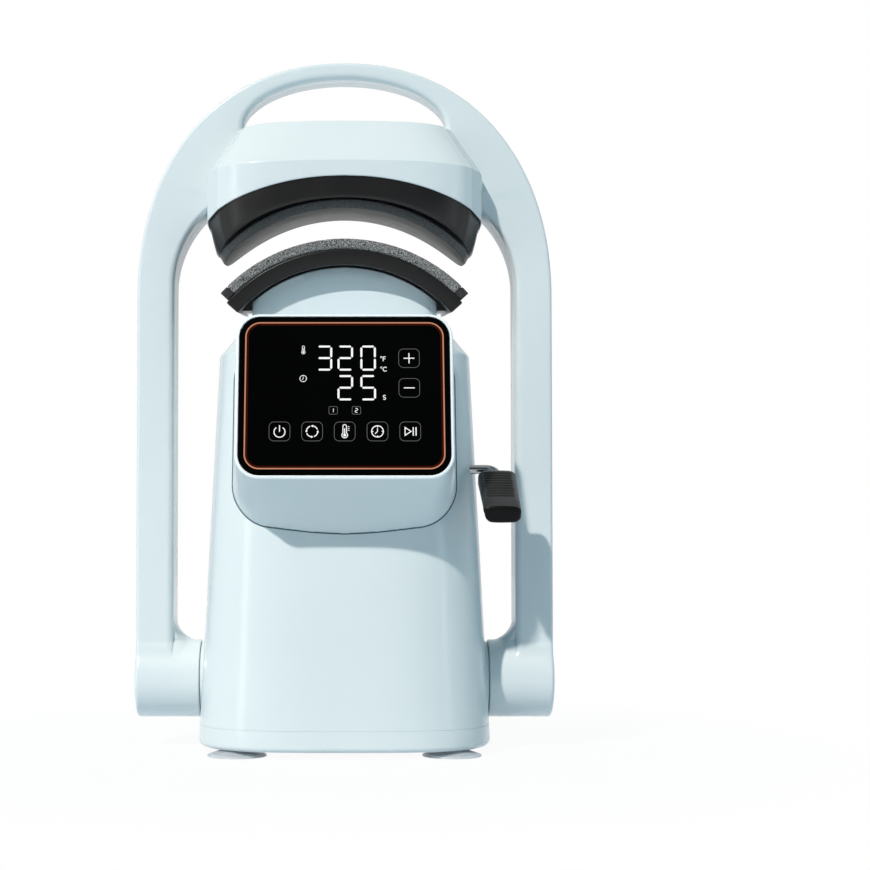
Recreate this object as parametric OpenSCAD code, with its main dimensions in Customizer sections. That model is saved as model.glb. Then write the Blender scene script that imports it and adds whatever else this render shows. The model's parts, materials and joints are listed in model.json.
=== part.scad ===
// Cap heat press: a swinging arch carries a curved heated head over a curved, padded lower platen,
// which a cam and lever lift. X is to the right, the front is -Y, Z is up, and the origin lies on
// the bench under the middle of the whole press. All sizes are in millimetres.

/* [Arch] */
// Half the width of the arch over its legs
arch_half_w = 128.5; // [122:0.5:140]
// Height of the top of the handle
arch_top_z = 421; // [415:0.5:435]
// Height of the arch's curve over its straight legs
arch_rise = 147; // [140:0.5:154]
// Fullness of the arch's outer curve, where 2 is an ellipse
arch_power = 2.18; // [2:0.02:2.4]
// Depth of the arch from front to back
arch_depth = 34; // [28:0.5:38]
// Width of a leg seen from the front
leg_w = 24; // [20:0.5:28]
// Wall of the two arch shells
arch_wall = 3; // [2:0.1:3.5]
// Rounding of the arch's outer edges
arch_outer_r = 1.8; // [0.5:0.1:3]
// Rounding of the arch's inner edges
arch_inner_r = 4; // [1:0.1:5]
// Radius of the upper corners of the lower opening
opening_r = 64; // [55:0.5:70]
// Half the width of the handle opening
handle_half_w = 61.5; // [56:0.5:64]
// Height of the handle opening's arch
handle_rise = 29.5; // [24:0.5:34]
// Thickness of the handle bar at the top
handle_bar = 10.5; // [9:0.5:14]
// Width of the steel bar in each leg
core_w = 13; // [9:0.5:14]
// Thickness of the steel core from front to back
core_t = 8; // [5:0.5:10]
// Height of the core's crossbar
crossbar_h = 14; // [10:0.5:15]

/* [Pivot] */
// Height of the pivot axis
pivot_z = 41.5; // [38:0.5:48]
// Outer radius of the pivot barrels
barrel_r = 23.7; // [21:0.1:26]
// Height of the domed cap on a barrel
cap_h = 1.2; // [0.8:0.1:3]
// Height of the leg socket above the pivot axis
socket_h = 40.5; // [36:0.5:48]
// Fillet between barrel and leg
barrel_fillet = 12; // [6:0.5:14]
// Radius of the steel axle
axle_r = 7; // [5:0.1:8]
// Outer radius of a pivot bush
bush_r = 11; // [9.5:0.1:12]
// Share of a barrel's length that its bush fills
bush_share = 0.52; // [0.36:0.01:0.55]
// Radius of a stop pin
stop_pin_r = 2; // [1:0.1:2.5]
// How far the arch swings back, in degrees
swing = 40; // [30:1:55]

/* [Head] */
// Half the width of the head
head_half_w = 84; // [82:0.5:88]
// Half the depth of the head
head_half_d = 57; // [55:0.5:60]
// Squareness of the head seen from above
head_power = 4; // [3.6:0.1:5]
// How far the head's top lies below the top of the handle
head_drop = 43; // [41:0.5:44]
// Height of the head's bevel
bevel_h = 27.5; // [20:0.5:29]
// How far the bevel runs in
head_bevel = 18; // [12:0.5:19]
// Rounding between the bevel and the top
head_top_r = 2.5; // [1:0.1:4]
// How far below the head's top the painted cover ends at the middle
border_drop = 38; // [35:0.5:40]
// How far that edge falls towards the sides
border_fall = 18.5; // [16:0.5:22]
// How far the heated face stands out below the shroud's arched edge
shroud_lift = 4; // [2:0.1:5]
// How far the shroud is set in from the cover
shroud_inset = 1.5; // [0.5:0.1:3]
// How far the shroud narrows towards its foot
shroud_taper = 3.5; // [1:0.5:4]
// Wall of the head covers and of the shroud
head_wall = 3; // [2:0.1:3.2]

/* [Platens] */
// Forward tilt of both platens in degrees
platen_tilt = 6; // [3:0.5:7]
// Distance of the platens' middle in front of the pivot axis
platen_forward = 5; // [3:0.5:8]
// How far below the head's top the heated face lies at the middle
platen_drop = 50.5; // [50:0.5:52]
// Radius of the heated face
platen_r = 103; // [100:0.5:104]
// Thickness of the heated platen
platen_t = 8; // [6:0.5:8.5]
// Half the angle that the heated face spans
platen_angle = 45.2; // [43:0.2:45.6]
// Depth of the heated face
platen_depth = 78; // [70:0.5:80]
// How far the platen is set in above its heated lip, all round
platen_step = 4; // [3:0.5:8]
// Thickness of the heating element
element_t = 2; // [1:0.1:2.2]
// Thickness of the insulation
insulation_t = 3.5; // [2:0.1:4]
// Radius of a platen standoff
standoff_r = 3.5; // [2:0.1:4.5]
// Thickness of the hanger plate
hanger_t = 3.5; // [2:0.1:3.6]
// Gap between pad and heated face when pressed
press_gap = 1.6; // [0.6:0.1:2]
// Lift of the lower platen
lift = 16; // [10:0.5:16.5]
// Thickness of the foam pad
pad_t = 6.5; // [4:0.5:9]
// Half the angle that the pad spans
pad_angle = 46.4; // [42:0.2:46.6]
// Depth of the pad
pad_depth = 78; // [68:0.5:82]
// Thickness of the carrier under the pad
carrier_t = 9; // [6:0.5:10]
// Half the angle that the carrier spans
carrier_angle = 48.4; // [47.6:0.2:50]
// How far the carrier stands out past the pad at front and back
carrier_lip = 1; // [0.4:0.1:2]

/* [Pedestal] */
// Half the width of the pedestal
pedestal_half_w = 56.5; // [52:0.5:57]
// Half the depth of the pedestal
pedestal_half_d = 25; // [22:0.5:28]
// Wall of the pedestal
pedestal_wall = 3; // [2:0.1:4]
// Shadow gap between the pedestal's front and the carrier
shadow_gap = 1.2; // [0.6:0.1:2]
// Thickness of the carrier brackets
bracket_t = 2; // [1.5:0.1:3]
// Thickness of the lift plate
lift_plate_t = 4; // [3:0.1:5]
// Radius of a guide post
post_r = 5; // [4:0.1:6]
// Distance of a guide post from the middle
post_x = 36; // [32:0.5:38]
// Length of a guide post
post_len = 100; // [90:1:105]

/* [Body] */
// Half the width of the body at its foot
base_half_w = 88.5; // [86:0.5:89]
// Half the depth of the body at its foot
base_half_d = 80; // [76:0.5:86]
// Half the width of the body at its shoulder
shoulder_half_w = 76.5; // [74:0.5:78]
// Half the depth of the body at its shoulder
shoulder_half_d = 64; // [62:0.5:70]
// How far the body's top lies below the head's top
body_drop = 130; // [128:0.5:133]
// Height of the shoulder's chamfer
shoulder_h = 12; // [8:0.5:15]
// How far the shoulder chamfer runs in
shoulder_in = 9; // [6:0.5:10]
// Squareness of the body seen from above
body_power = 3.3; // [2.6:0.1:4]
// Wall of the body
body_wall = 3; // [2:0.1:3.5]
// Height of the seam between body and base pan
seam_z = 16.4; // [14:0.2:19]
// Height of the base pan's underside
pan_z = 4; // [3:0.1:6]
// Floor of the base pan
pan_floor = 4; // [3:0.1:5]
// Rounding of the base pan's lower edge
pan_r = 3; // [1:0.1:4]
// Radius of a suction foot
foot_r = 17.5; // [14:0.5:19]
// Distance of the feet from the middle, to the side
foot_x = 63; // [60:0.5:64]
// Distance of the feet from the pivot axis, to front and back
foot_y = 55; // [50:0.5:57]

/* [Panel] */
// Width of the panel glass
glass_w = 120; // [110:0.5:124]
// Height of the panel glass along its slope
glass_h = 94; // [88:0.5:98]
// Thickness of the panel glass
glass_t = 1.8; // [1:0.1:3]
// Corner radius of the glass
glass_r = 12; // [6:0.5:16]
// Backward tilt of the panel in degrees
panel_tilt = 13; // [8:0.5:18]
// Distance of the panel's face in front of the pivot axis
panel_forward = 96; // [94:0.5:104]
// How far below the body's top the middle of the panel lies
panel_below = 39.5; // [36:0.5:44]
// Rim of the housing around the glass
panel_rim = 2; // [1:0.1:3]
// How far the housing widens towards the body, on each side
panel_flare = 3.5; // [1:0.5:5]
// How far the housing's underside falls towards the body
panel_fall = 28; // [24:0.5:34]
// How far the housing's top falls towards the body
panel_top_fall = 10; // [8:0.5:14]
// Depth of the housing behind its face
panel_depth = 60; // [56:0.5:66]
// Wall of the housing
panel_wall = 2.5; // [2:0.1:3]

/* [Chassis] */
// Sheet thickness of the chassis
chassis_t = 2.5; // [2:0.1:4]
// Half the width of the chassis over its cheeks
chassis_half_w = 53; // [50:0.5:56]
// How far below the body's top the chassis cheeks end
chassis_below = 50; // [44:0.5:58]
// How far below the body's top the guide bridge lies
bridge_below = 78; // [72:0.5:88]
// Wall of the guide and camshaft bushes
sleeve_wall = 3; // [2:0.1:4]

/* [Lever] */
// Distance of the lever shaft in front of the pivot axis
lever_forward = 40; // [38:0.5:42]
// How far below the body's top the lever shaft lies
lever_below = 79.4; // [78:0.2:83]
// Radius of the bent rod
rod_r = 2.75; // [2:0.05:3.5]
// Radius of the shaft inside the body
shaft_r = 5; // [4:0.1:6]
// Radius of the elbow at the middle of the rod
elbow_r = 6; // [5:0.5:8]
// Distance of the grip from the middle of the press
grip_x = 91.5; // [91:0.1:92.5]
// Angle of the grip below the horizontal in degrees
lever_drop = 33; // [25:0.5:34]
// Width of the grip
grip_w = 22; // [18:0.5:22.5]
// Thickness of the grip
grip_t = 12; // [10:0.5:13]
// Length of the grip
grip_len = 44; // [36:0.5:48]
// Number of ribs across the grip
rib_n = 10; // [6:1:12]
// Depth of the grooves between the ribs
rib_h = 0.9; // [0.4:0.1:1.4]
// Turn of the lever in degrees
lever_turn = 60; // [45:1:60]
// Least distance of the follower's centre from the lever shaft
cam_r = 18; // [16:0.5:20]
// Width of the cam
cam_w = 12; // [8:0.5:16]
// Radius of the follower's nose
nose_r = 4; // [3:0.1:5]

/* [Rear] */
// Width of the rear panel
rear_w = 70; // [66:0.5:74]
// Height of the rear panel
rear_h = 40; // [38:0.5:44]
// Thickness of the rear panel
rear_t = 2.5; // [2:0.1:3]
// Height of the middle of the rear panel
rear_z = 52; // [48:0.5:60]
// Width of the mains inlet's socket
inlet_w = 24; // [23:0.1:25]
// Height of the mains inlet's socket
inlet_h = 16.5; // [16:0.1:18]
// Depth of the mains inlet's socket
inlet_d = 17; // [15:0.5:19]
// Radius of the rocker
rocker_r = 8; // [6.5:0.1:8.5]
// Width of the rocker
rocker_w = 11; // [8:0.5:12]

/* [Clearances] */
// Radial clearance of a running fit
run_fit = 0.05; // [0.02:0.01:0.09]
// Gap between pieces that pass or lie beside each other
gap = 0.3; // [0.3:0.05:0.5]
// Gap round the pedestal in the top of the body
slide_gap = 1; // [0.6:0.1:1.4]

/* [Hidden] */
$fn = 64;
ring_n = 48;

pale_blue = [0.78, 0.87, 0.91];
soft_black = [0.08, 0.08, 0.09];
dark_grey = [0.25, 0.25, 0.27];
foam_grey = [0.55, 0.56, 0.57];
steel = [0.72, 0.73, 0.75];
brass_tone = [0.78, 0.62, 0.32];

// Heights, which all follow from the top of the arch
arch_spring_z = arch_top_z - arch_rise;
head_top_z = arch_top_z - head_drop;
head_bevel_z = head_top_z - bevel_h;
border_z = head_top_z - border_drop;
platen_axis_z = head_top_z - platen_drop - platen_r;
body_top_z = head_top_z - body_drop;
shoulder_z = body_top_z - shoulder_h;
panel_z = body_top_z - panel_below;
chassis_top_z = body_top_z - chassis_below;
bridge_z = body_top_z - bridge_below;
lever_z = body_top_z - lever_below;

// The whole press is moved so that the origin lies under the middle of its outline
panel_half_h = glass_h / 2 + panel_rim;
panel_edge = 0.6;
front_reach = panel_forward + (panel_half_h - panel_edge) * sin(panel_tilt);
pivot_y = (front_reach - body_half_d(pan_z + pan_r)) / 2;

// Arch
leg_in = arch_half_w - leg_w;
handle_z = arch_top_z - handle_bar - handle_rise;
opening_x = leg_in - opening_r;
opening_z = arch_spring_z + 8;
inner_turn = 53;
shelf_z = opening_z + opening_r * sin(inner_turn);
outer_turn_a = 24;
outer_turn_b = 26;
outer_turn_c = 47;
leg_end_z = pivot_z + socket_h;
core_x = leg_in + leg_w / 2 - 2;
core_lean = 8.5;
core_top_x = leg_in - core_lean;
crossbar_room = 11;
crossbar_z = head_top_z - head_wall - crossbar_room - crossbar_h;
core_foot_z = leg_end_z - 15;
leg_screw_share = [0.26, 0.8];
leg_screw_z = [for (share = leg_screw_share) leg_end_z + share * (arch_spring_z - leg_end_z)];
screw_r = 2;
screw_head_r = 3.6;
boss_r = 4.6;

// Pivot
barrel_x = body_half_w(pivot_z - barrel_r) + gap;
barrel_end = arch_half_w;
barrel_len = barrel_end - barrel_x;
bush_end = barrel_x + bush_share * barrel_len;
stop_share = 0.12;
stop_x = bush_end + stop_share * barrel_len;
stop_bore_r = axle_r + 0.4;
stop_reach = axle_r + 6;
stop_room = stop_reach + 0.5;
stop_band = 2 * stop_pin_r + 1.4;
clip_t = 1.2;
clip_room = 6;
clip_x = barrel_end - 4.4;
clip_groove = 1;
axle_half = clip_x + clip_t + 1.2;

// Head
border_r = (pow(head_half_w, 2) + pow(border_fall, 2)) / (2 * border_fall);
border_axis_z = border_z - border_r;
shroud_foot_z = platen_axis_z + 60;
shroud_half_w = head_half_w - shroud_inset;
shroud_half_d = head_half_d - shroud_inset;

// Platens, which share one centre of curvature when pressed
element_r = platen_r + platen_t;
insulation_r = element_r + element_t;
insulation_top = insulation_r + insulation_t;
block_half_w = platen_r * sin(platen_angle) - platen_step;
block_depth = platen_depth - 2 * platen_step;
element_margin = 3;
element_half_w = block_half_w - element_margin;
element_depth = block_depth - 2 * element_margin;
pad_r = platen_r - press_gap;
carrier_r = pad_r - pad_t;
carrier_in_r = carrier_r - carrier_t;
hanger_z = crossbar_z - hanger_t;
hanger_half_w = 56;
hanger_half_d = 30;
standoff_x = 45;
standoff_y = 24;

// Pedestal and lift
lift_plate_z = body_top_z - body_wall - lift - lift_plate_t - 3;
pedestal_z = lift_plate_z + lift_plate_t;
saddle_half_d = pedestal_half_d - 7;
bracket_rise = 2;
bracket_top = carrier_in_r * cos(carrier_angle) + bracket_rise;
bracket_lip = 1.6;
bracket_end = sqrt(pow(carrier_in_r, 2) - pow(bracket_top, 2)) - gap;
post_y = 8;
lift_front = lever_forward + 12;

// Body
function body_half_w(z) = base_half_w + (shoulder_half_w - base_half_w) * (z - pan_z) / (shoulder_z - pan_z);
function body_half_d(z) = base_half_d + (shoulder_half_d - base_half_d) * (z - pan_z) / (shoulder_z - pan_z);
ceiling_z = body_top_z - body_wall;
pan_top = pan_z + pan_floor;
foot_stem_r = 4;
foot_head_r = 5.6;

// Panel and boards
glass_floor = -glass_t - 0.2;
board_t = 1.6;
board_margin = 10;
board_post_r = 3;

// Chassis
cheek_in = chassis_half_w - chassis_t;
chassis_front = lever_forward + 13;
chassis_back = 30;
guide_hang = 14;
guide_lip = 2;
bridge_front = -4;
bridge_back = 22;
screw_x = 40;
screw_y = [-28, 22];
light_hole_r = 14;

// Lever
cam_rise = lift / (lever_turn * PI / 180);
shaft_end = chassis_half_w + 8;
elbow_x = grip_x - elbow_r;
elbow_swell = 0.03;
grip_start = 9;
rod_in_grip = 30;

// Rear
rear_top_z = rear_z + rear_h / 2;
rear_squeeze = pow(rear_w / 2 / (body_half_w(rear_top_z) - body_wall), body_power);
rear_y = (body_half_d(rear_top_z) - body_wall) * pow(1 - rear_squeeze, 1 / body_power) - gap;
inlet_x = -15;
rocker_x = 20;
inlet_wall = 1.8;
bezel_t = 2;
rocker_lean = 10;
rocker_face = bezel_t + 1.5;
rocker_wall = 2;
rocker_flange = 2;
switch_d = 16;
window_lap = 3;

// Signed power, for rounded outlines
function sp(v, e) = sign(v) * pow(abs(v), e);

// Rounded outline in a level plane: half width, front and rear half depths, squareness, height
function outline(a, front, rear, p, z, y0 = 0) = [
    for (i = [0 : ring_n - 1])
        let (t = 360 * i / ring_n)
        [a * sp(cos(t), 2 / p), y0 + (sin(t) < 0 ? front : rear) * sp(sin(t), 2 / p), z]
];

// Rounded rectangle with its middle at x = 0
function round_rect(half_w, low, high, r, steps = 6) = [
    for (k = [0 : 3], i = [0 : steps])
        let (
            a = 90 * k + 90 * i / steps,
            cx = (k == 0 || k == 3) ? half_w - r : r - half_w,
            cy = k < 2 ? high - r : low + r
        )
        [cx + r * cos(a), cy + r * sin(a)]
];

function raised(pts, z) = [for (p = pts) [p[0], p[1], z]];

function reversed(list) = [for (i = [len(list) - 1 : -1 : 0]) list[i]];

// Skin through rings of equal length: rings run anticlockwise, seen from where they are heading.
// A ring that isn't convex gives the pieces of its end as lists of its own points.
module skin(rings, loop = false, pieces = undef) {
    n = len(rings[0]);
    m = len(rings);
    sides = [
        for (i = [0 : loop ? m - 1 : m - 2], j = [0 : n - 1])
            let (k = (i + 1) % m, l = (j + 1) % n)
            each [[i * n + j, k * n + l, i * n + l], [i * n + j, k * n + j, k * n + l]]
    ];
    end = is_undef(pieces) ? [[for (j = [0 : n - 1]) j]] : pieces;
    last = [for (f = end) [for (j = reversed(f)) (m - 1) * n + j]];
    polyhedron([for (r = rings) each r], concat(sides, loop ? [] : concat(end, last)));
}

module at_pivot() {
    translate([0, pivot_y, 0])
        children();
}

// Frame of a curved platen: its axis of curvature runs from front to back, and the tilt turns it
// about the middle of the heated face
module platen_frame(drop = 0) {
    translate([0, -platen_forward, platen_axis_z + platen_r - drop])
        rotate([platen_tilt, 0, 0])
            translate([0, 0, -platen_r])
                children();
}

// Part of a ring about the platen axis, even on both sides of the top
module arc_plate(r_in, r_out, half_angle, depth) {
    reach = 2 * r_out;
    rotate([90, 0, 0])
        linear_extrude(depth, center = true)
            intersection() {
                difference() {
                    circle(r_out);
                    circle(r_in);
                }
                polygon([[0, 0], [reach * sin(half_angle), reach * cos(half_angle)],
                    [-reach * sin(half_angle), reach * cos(half_angle)]]);
            }
}

// Part of a ring about the platen axis with upright ends
module trimmed_arc_plate(r_in, r_out, half_w, depth) {
    rotate([90, 0, 0])
        linear_extrude(depth, center = true)
            intersection() {
                difference() {
                    circle(r_out);
                    circle(r_in);
                }
                translate([-half_w, 0])
                    square([2 * half_w, r_out]);
            }
}

// Cylinder along X between two places
module x_rod(r, x0, x1, y = 0, z = 0) {
    translate([x0, y, z])
        rotate([0, 90, 0])
            cylinder(r = r, h = x1 - x0);
}

// Cylinder along Y between two places
module y_rod(r, y0, y1, x = 0, z = 0) {
    translate([x, y1, z])
        rotate([90, 0, 0])
            cylinder(r = r, h = y1 - y0);
}

// Sheet in a plane across the press, drawn as [y, z] and given its thickness along X
module side_sheet(x0, t) {
    translate([x0, 0, 0])
        rotate([90, 0, 90])
            linear_extrude(t)
                children();
}

module both_sides() {
    for (side = [-1, 1])
        scale_side(side)
            children();
}

module scale_side(side) {
    mirror([side < 0 ? 1 : 0, 0, 0])
        children();
}

// Arch: pairs of points on the outer and the inner curve, from the right foot to the left foot
function outer_point(t) = [
    arch_half_w * pow(cos(t), 2 / arch_power),
    arch_spring_z + arch_rise * pow(sin(t), 2 / arch_power)
];
function corner_point(a, r = opening_r) = [opening_x + r * cos(a), opening_z + r * sin(a)];
function handle_point(a) = [handle_half_w * cos(a), handle_z + handle_rise * sin(a)];
right_stations = concat(
    [[[arch_half_w, leg_end_z + gap], [leg_in, leg_end_z + gap]]],
    [for (k = [0 : 8]) [outer_point(outer_turn_a * k / 8), corner_point(inner_turn * k / 8)]],
    [[outer_point(outer_turn_b), [handle_half_w, shelf_z]]],
    [for (k = [1 : 4]) [
        outer_point(outer_turn_b + (outer_turn_c - outer_turn_b) * k / 4),
        [handle_half_w, shelf_z + (handle_z - shelf_z) * k / 4]
    ]],
    [for (k = [1 : 15]) [
        outer_point(outer_turn_c + (90 - outer_turn_c) * k / 16),
        handle_point(90 * k / 16)
    ]]
);
function flipped(pair) = [[-pair[0][0], pair[0][1]], [-pair[1][0], pair[1][1]]];
stations = concat(
    right_stations,
    [[[0, arch_top_z], [0, handle_z + handle_rise]]],
    [for (s = reversed(right_stations)) flipped(s)]
);

// Channel section of one arch shell, as distance in from the outer curve and depth
function channel(w) =
    let (h = arch_depth / 2, t = arch_wall, ro = arch_outer_r, ri = arch_inner_r, o = gap / 2, c = 0.3)
    [
        [0, o], [0, h - ro], [c * ro, h - c * ro], [ro, h], [w - ri, h], [w - c * ri, h - c * ri],
        [w, h - ri], [w, o], [w - t, o], [w - t, h - t], [t, h - t], [t, o]
    ];
channel_pieces = [[0, 1, 10, 11], [1, 2, 3, 10], [3, 4, 9, 10], [4, 5, 6, 9], [6, 7, 8, 9]];
function channel_ring(pair) =
    let (w = norm(pair[1] - pair[0]), u = (pair[1] - pair[0]) / w)
    [for (p = channel(w)) [pair[0][0] + u[0] * p[0], p[1], pair[0][1] + u[1] * p[0]]];

// One half of the arch's moulded skin: face -1 is the front, 1 the rear
module arch_shell(face) {
    difference() {
        union() {
            mirror([0, face < 0 ? 1 : 0, 0])
                skin([for (s = stations) channel_ring(s)], pieces = channel_pieces);
            both_sides()
                for (z = leg_screw_z)
                    translate([0, face < 0 ? -arch_depth / 2 + 1 : core_t / 2 + gap, 0])
                        y_rod(boss_r, 0, arch_depth / 2 - 1 - core_t / 2 - gap, core_x, z);
        }
        both_sides() {
            translate([handle_half_w - 1, -core_t / 2 - gap, crossbar_z - gap])
                cube([arch_wall + 3, core_t + 2 * gap, crossbar_h + 2 * gap]);
            for (z = leg_screw_z) {
                y_rod(screw_r + 0.1, -arch_depth / 2 + 4, arch_depth, core_x, z);
                if (face > 0)
                    y_rod(screw_head_r + gap, arch_depth / 2 - 3, arch_depth, core_x, z);
            }
        }
    }
}

module arch_front_shell() {
    color(pale_blue)
        at_pivot()
            arch_shell(-1);
}

module arch_rear_shell() {
    color(pale_blue)
        at_pivot()
            arch_shell(1);
}

// Steel hoop inside the arch, with the crossbar that carries the head
module arch_core() {
    bar_in = core_x - core_w / 2;
    bar_out = core_x + core_w / 2;
    top_z = crossbar_z + crossbar_h;
    over = [[bar_out, core_foot_z], [bar_out, opening_z], [core_top_x, top_z]];
    under = concat(
        [[core_top_x - core_w, crossbar_z]],
        [for (k = [8 : -1 : 0]) corner_point(inner_turn * k / 8, bar_in - opening_x)],
        [[bar_in, core_foot_z]]
    );
    half = concat(under, over);
    color(steel)
        at_pivot()
            difference() {
                rotate([90, 0, 0])
                    linear_extrude(core_t, center = true)
                        polygon(concat(half, [for (p = reversed(half)) [-p[0], p[1]]]));
                both_sides()
                    for (z = leg_screw_z)
                        y_rod(screw_r + 0.1, -arch_depth, arch_depth, core_x, z);
            }
}

module arch_screws() {
    color(steel)
        at_pivot()
            both_sides()
                for (z = leg_screw_z) {
                    y_rod(screw_r, -arch_depth / 2 + 5, arch_depth / 2 - 3, core_x, z);
                    y_rod(screw_head_r, arch_depth / 2 - 3, arch_depth / 2 - 0.8, core_x, z);
                }
}

// Barrel at the foot of a leg: bush seat, room for the stop pin, and the socket for the leg
module pivot_barrel(side) {
    neck = [for (p = round_rect(arch_depth / 2, 0, leg_w, arch_outer_r)) [leg_in + p[1], p[0]]];
    pocket_turn = asin((stop_pin_r + gap) / axle_r);
    scale_side(side)
        difference() {
            union() {
                x_rod(barrel_r, barrel_x, barrel_end, 0, pivot_z);
                translate([0, 0, pivot_z])
                    linear_extrude(socket_h)
                        polygon(neck);
                translate([leg_in - barrel_fillet, 0, pivot_z + barrel_r - 1])
                    rotate([90, 0, 0])
                        linear_extrude(arch_depth - 2 * arch_inner_r - 6, center = true)
                            difference() {
                                square([barrel_fillet + 1, barrel_fillet]);
                                translate([0, barrel_fillet])
                                    circle(barrel_fillet - 1);
                            }
            }
            x_rod(bush_r, barrel_x - 1, bush_end, 0, pivot_z);
            x_rod(stop_bore_r, barrel_x, barrel_end + 1, 0, pivot_z);
            x_rod(bush_r, barrel_end - clip_room, barrel_end + 1, 0, pivot_z);
            translate([stop_x - stop_band / 2, 0, pivot_z])
                rotate([90, 0, 90])
                    linear_extrude(stop_band)
                        intersection() {
                            circle(stop_room);
                            polygon(concat([[0, 0]], [
                                for (k = [0 : 6])
                                    let (a = 90 - pocket_turn + (swing + 2 * pocket_turn) * k / 6)
                                    2 * stop_room * [cos(a), sin(a)]
                            ]));
                        }
            translate([core_x - core_w / 2 - gap, -core_t / 2 - gap, core_foot_z - gap])
                cube([core_w + 2 * gap, core_t + 2 * gap, socket_h]);
        }
}

module pivot_barrel_left() {
    color(pale_blue)
        at_pivot()
            pivot_barrel(-1);
}

module pivot_barrel_right() {
    color(pale_blue)
        at_pivot()
            pivot_barrel(1);
}

module pivot_bush(side) {
    scale_side(side)
        difference() {
            x_rod(bush_r, barrel_x + 0.5, bush_end, 0, pivot_z);
            x_rod(axle_r + run_fit, barrel_x, bush_end + 1, 0, pivot_z);
        }
}

module pivot_bush_left() {
    color(brass_tone)
        at_pivot()
            pivot_bush(-1);
}

module pivot_bush_right() {
    color(brass_tone)
        at_pivot()
            pivot_bush(1);
}

// Domed cap with a spigot that plugs the barrel
module pivot_cap(side) {
    rim = 0.3 * cap_h;
    spigot = 1.5;
    dome_r = (pow(barrel_r, 2) + pow(cap_h - rim, 2)) / (2 * (cap_h - rim));
    spread = asin(barrel_r / dome_r);
    scale_side(side)
        translate([barrel_end, 0, pivot_z])
            rotate([0, 90, 0])
                rotate_extrude()
                    polygon(concat(
                        [[0, -spigot], [bush_r - run_fit, -spigot], [bush_r - run_fit, 0], [barrel_r, 0]],
                        [for (k = [0 : 6])
                            let (a = spread * (1 - k / 6))
                            [dome_r * sin(a), cap_h - dome_r * (1 - cos(a))]]
                    ));
}

module pivot_cap_left() {
    color(pale_blue)
        at_pivot()
            pivot_cap(-1);
}

module pivot_cap_right() {
    color(pale_blue)
        at_pivot()
            pivot_cap(1);
}

// Hollow, bevelled hood of the head, before it is split and trimmed
module head_hood() {
    a = head_half_w;
    b = head_half_d;
    in = head_bevel;
    w = head_wall;
    skin([
        outline(a - in - w, b - in - w, b - in - w, head_power, head_top_z - w),
        outline(a - w, b - w, b - w, head_power, head_bevel_z - w / 2),
        outline(a - w, b - w, b - w, head_power, border_z - border_fall - 10),
        outline(a, b, b, head_power, border_z - border_fall - 10),
        outline(a, b, b, head_power, head_bevel_z),
        outline(a - in + 1, b - in + 1, b - in + 1, head_power, head_top_z - head_top_r),
        outline(a - in, b - in, b - in, head_power, head_top_z - 0.3 * head_top_r),
        outline(a - in - head_top_r, b - in - head_top_r, b - in - head_top_r, head_power, head_top_z)
    ]);
}

// Room for the arch in the sides of the head: above the shelf and outside the lower opening
module arch_slot() {
    reach = 2 * head_half_w;
    both_sides()
        translate([0, platen_forward, 0])
            rotate([90, 0, 0])
                linear_extrude(arch_depth + 2 * gap, center = true)
                    polygon(concat(
                        [[handle_half_w - gap, arch_top_z], [handle_half_w - gap, shelf_z - gap]],
                        [for (k = [8 : -1 : 0]) corner_point(inner_turn * k / 8, opening_r - gap)],
                        [[reach, opening_z], [reach, arch_top_z]]
                    ));
}

// Half of the head's hood, with side slots for the arch and its arched lower edge
module head_cover(face) {
    reach = 2 * head_half_w;
    translate([0, -platen_forward, 0])
        difference() {
            intersection() {
                head_hood();
                translate([-reach / 2, face < 0 ? -reach : gap / 2, 0])
                    cube([reach, reach - gap / 2, head_top_z + 1]);
            }
            y_rod(border_r, -reach, reach, 0, border_axis_z);
            arch_slot();
        }
}

module head_front_cover() {
    color(pale_blue)
        at_pivot()
            head_cover(-1);
}

module head_rear_cover() {
    color(pale_blue)
        at_pivot()
            head_cover(1);
}

// Black heat shroud under the hood, open at its top and its arched foot
module head_shroud() {
    a = shroud_half_w;
    b = shroud_half_d;
    s = shroud_taper;
    w = head_wall;
    reach = 2 * head_half_w;
    low = shroud_foot_z;
    color(soft_black)
        at_pivot()
            translate([0, -platen_forward, 0])
                difference() {
                    intersection() {
                        skin([
                            outline(a - s, b - s, b - s, head_power, low),
                            outline(a, b, b, head_power, border_z - border_fall + 8),
                            outline(a, b, b, head_power, border_z + 2),
                            outline(a - w, b - w, b - w, head_power, border_z + 2),
                            outline(a - w, b - w, b - w, head_power, border_z - border_fall + 8),
                            outline(a - s - w, b - s - w, b - s - w, head_power, low)
                        ], loop = true);
                        y_rod(border_r - gap, -reach, reach, 0, border_axis_z);
                    }
                    translate([0, platen_forward, 0])
                        platen_frame()
                            y_rod(platen_r + shroud_lift, -reach, reach);
                    arch_slot();
                }
}

// Steel plate under the crossbar, from which the heated platen hangs
module platen_hanger() {
    color(steel)
        at_pivot()
            difference() {
                translate([0, -platen_forward, hanger_z])
                    linear_extrude(hanger_t)
                        polygon(round_rect(hanger_half_w, -hanger_half_d, hanger_half_d, 6));
                platen_frame()
                    standoff_places()
                        cylinder(r = standoff_r / 2, h = 2 * insulation_top);
            }
}

module standoff_places() {
    for (x = [-standoff_x, standoff_x], y = [-standoff_y, standoff_y])
        translate([x, y, 0])
            children();
}

// Posts between platen and hanger: each foot is cut to the platen and each top to the hanger
module platen_standoffs() {
    color(steel)
        at_pivot()
            difference() {
                platen_frame()
                    difference() {
                        standoff_places()
                            cylinder(r = standoff_r, h = insulation_top + 20);
                        y_rod(element_r, -platen_depth, platen_depth);
                    }
                translate([-head_half_w, -head_half_d - platen_forward, hanger_z])
                    cube([2 * head_half_w, 2 * head_half_d, head_half_d]);
            }
}

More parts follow.
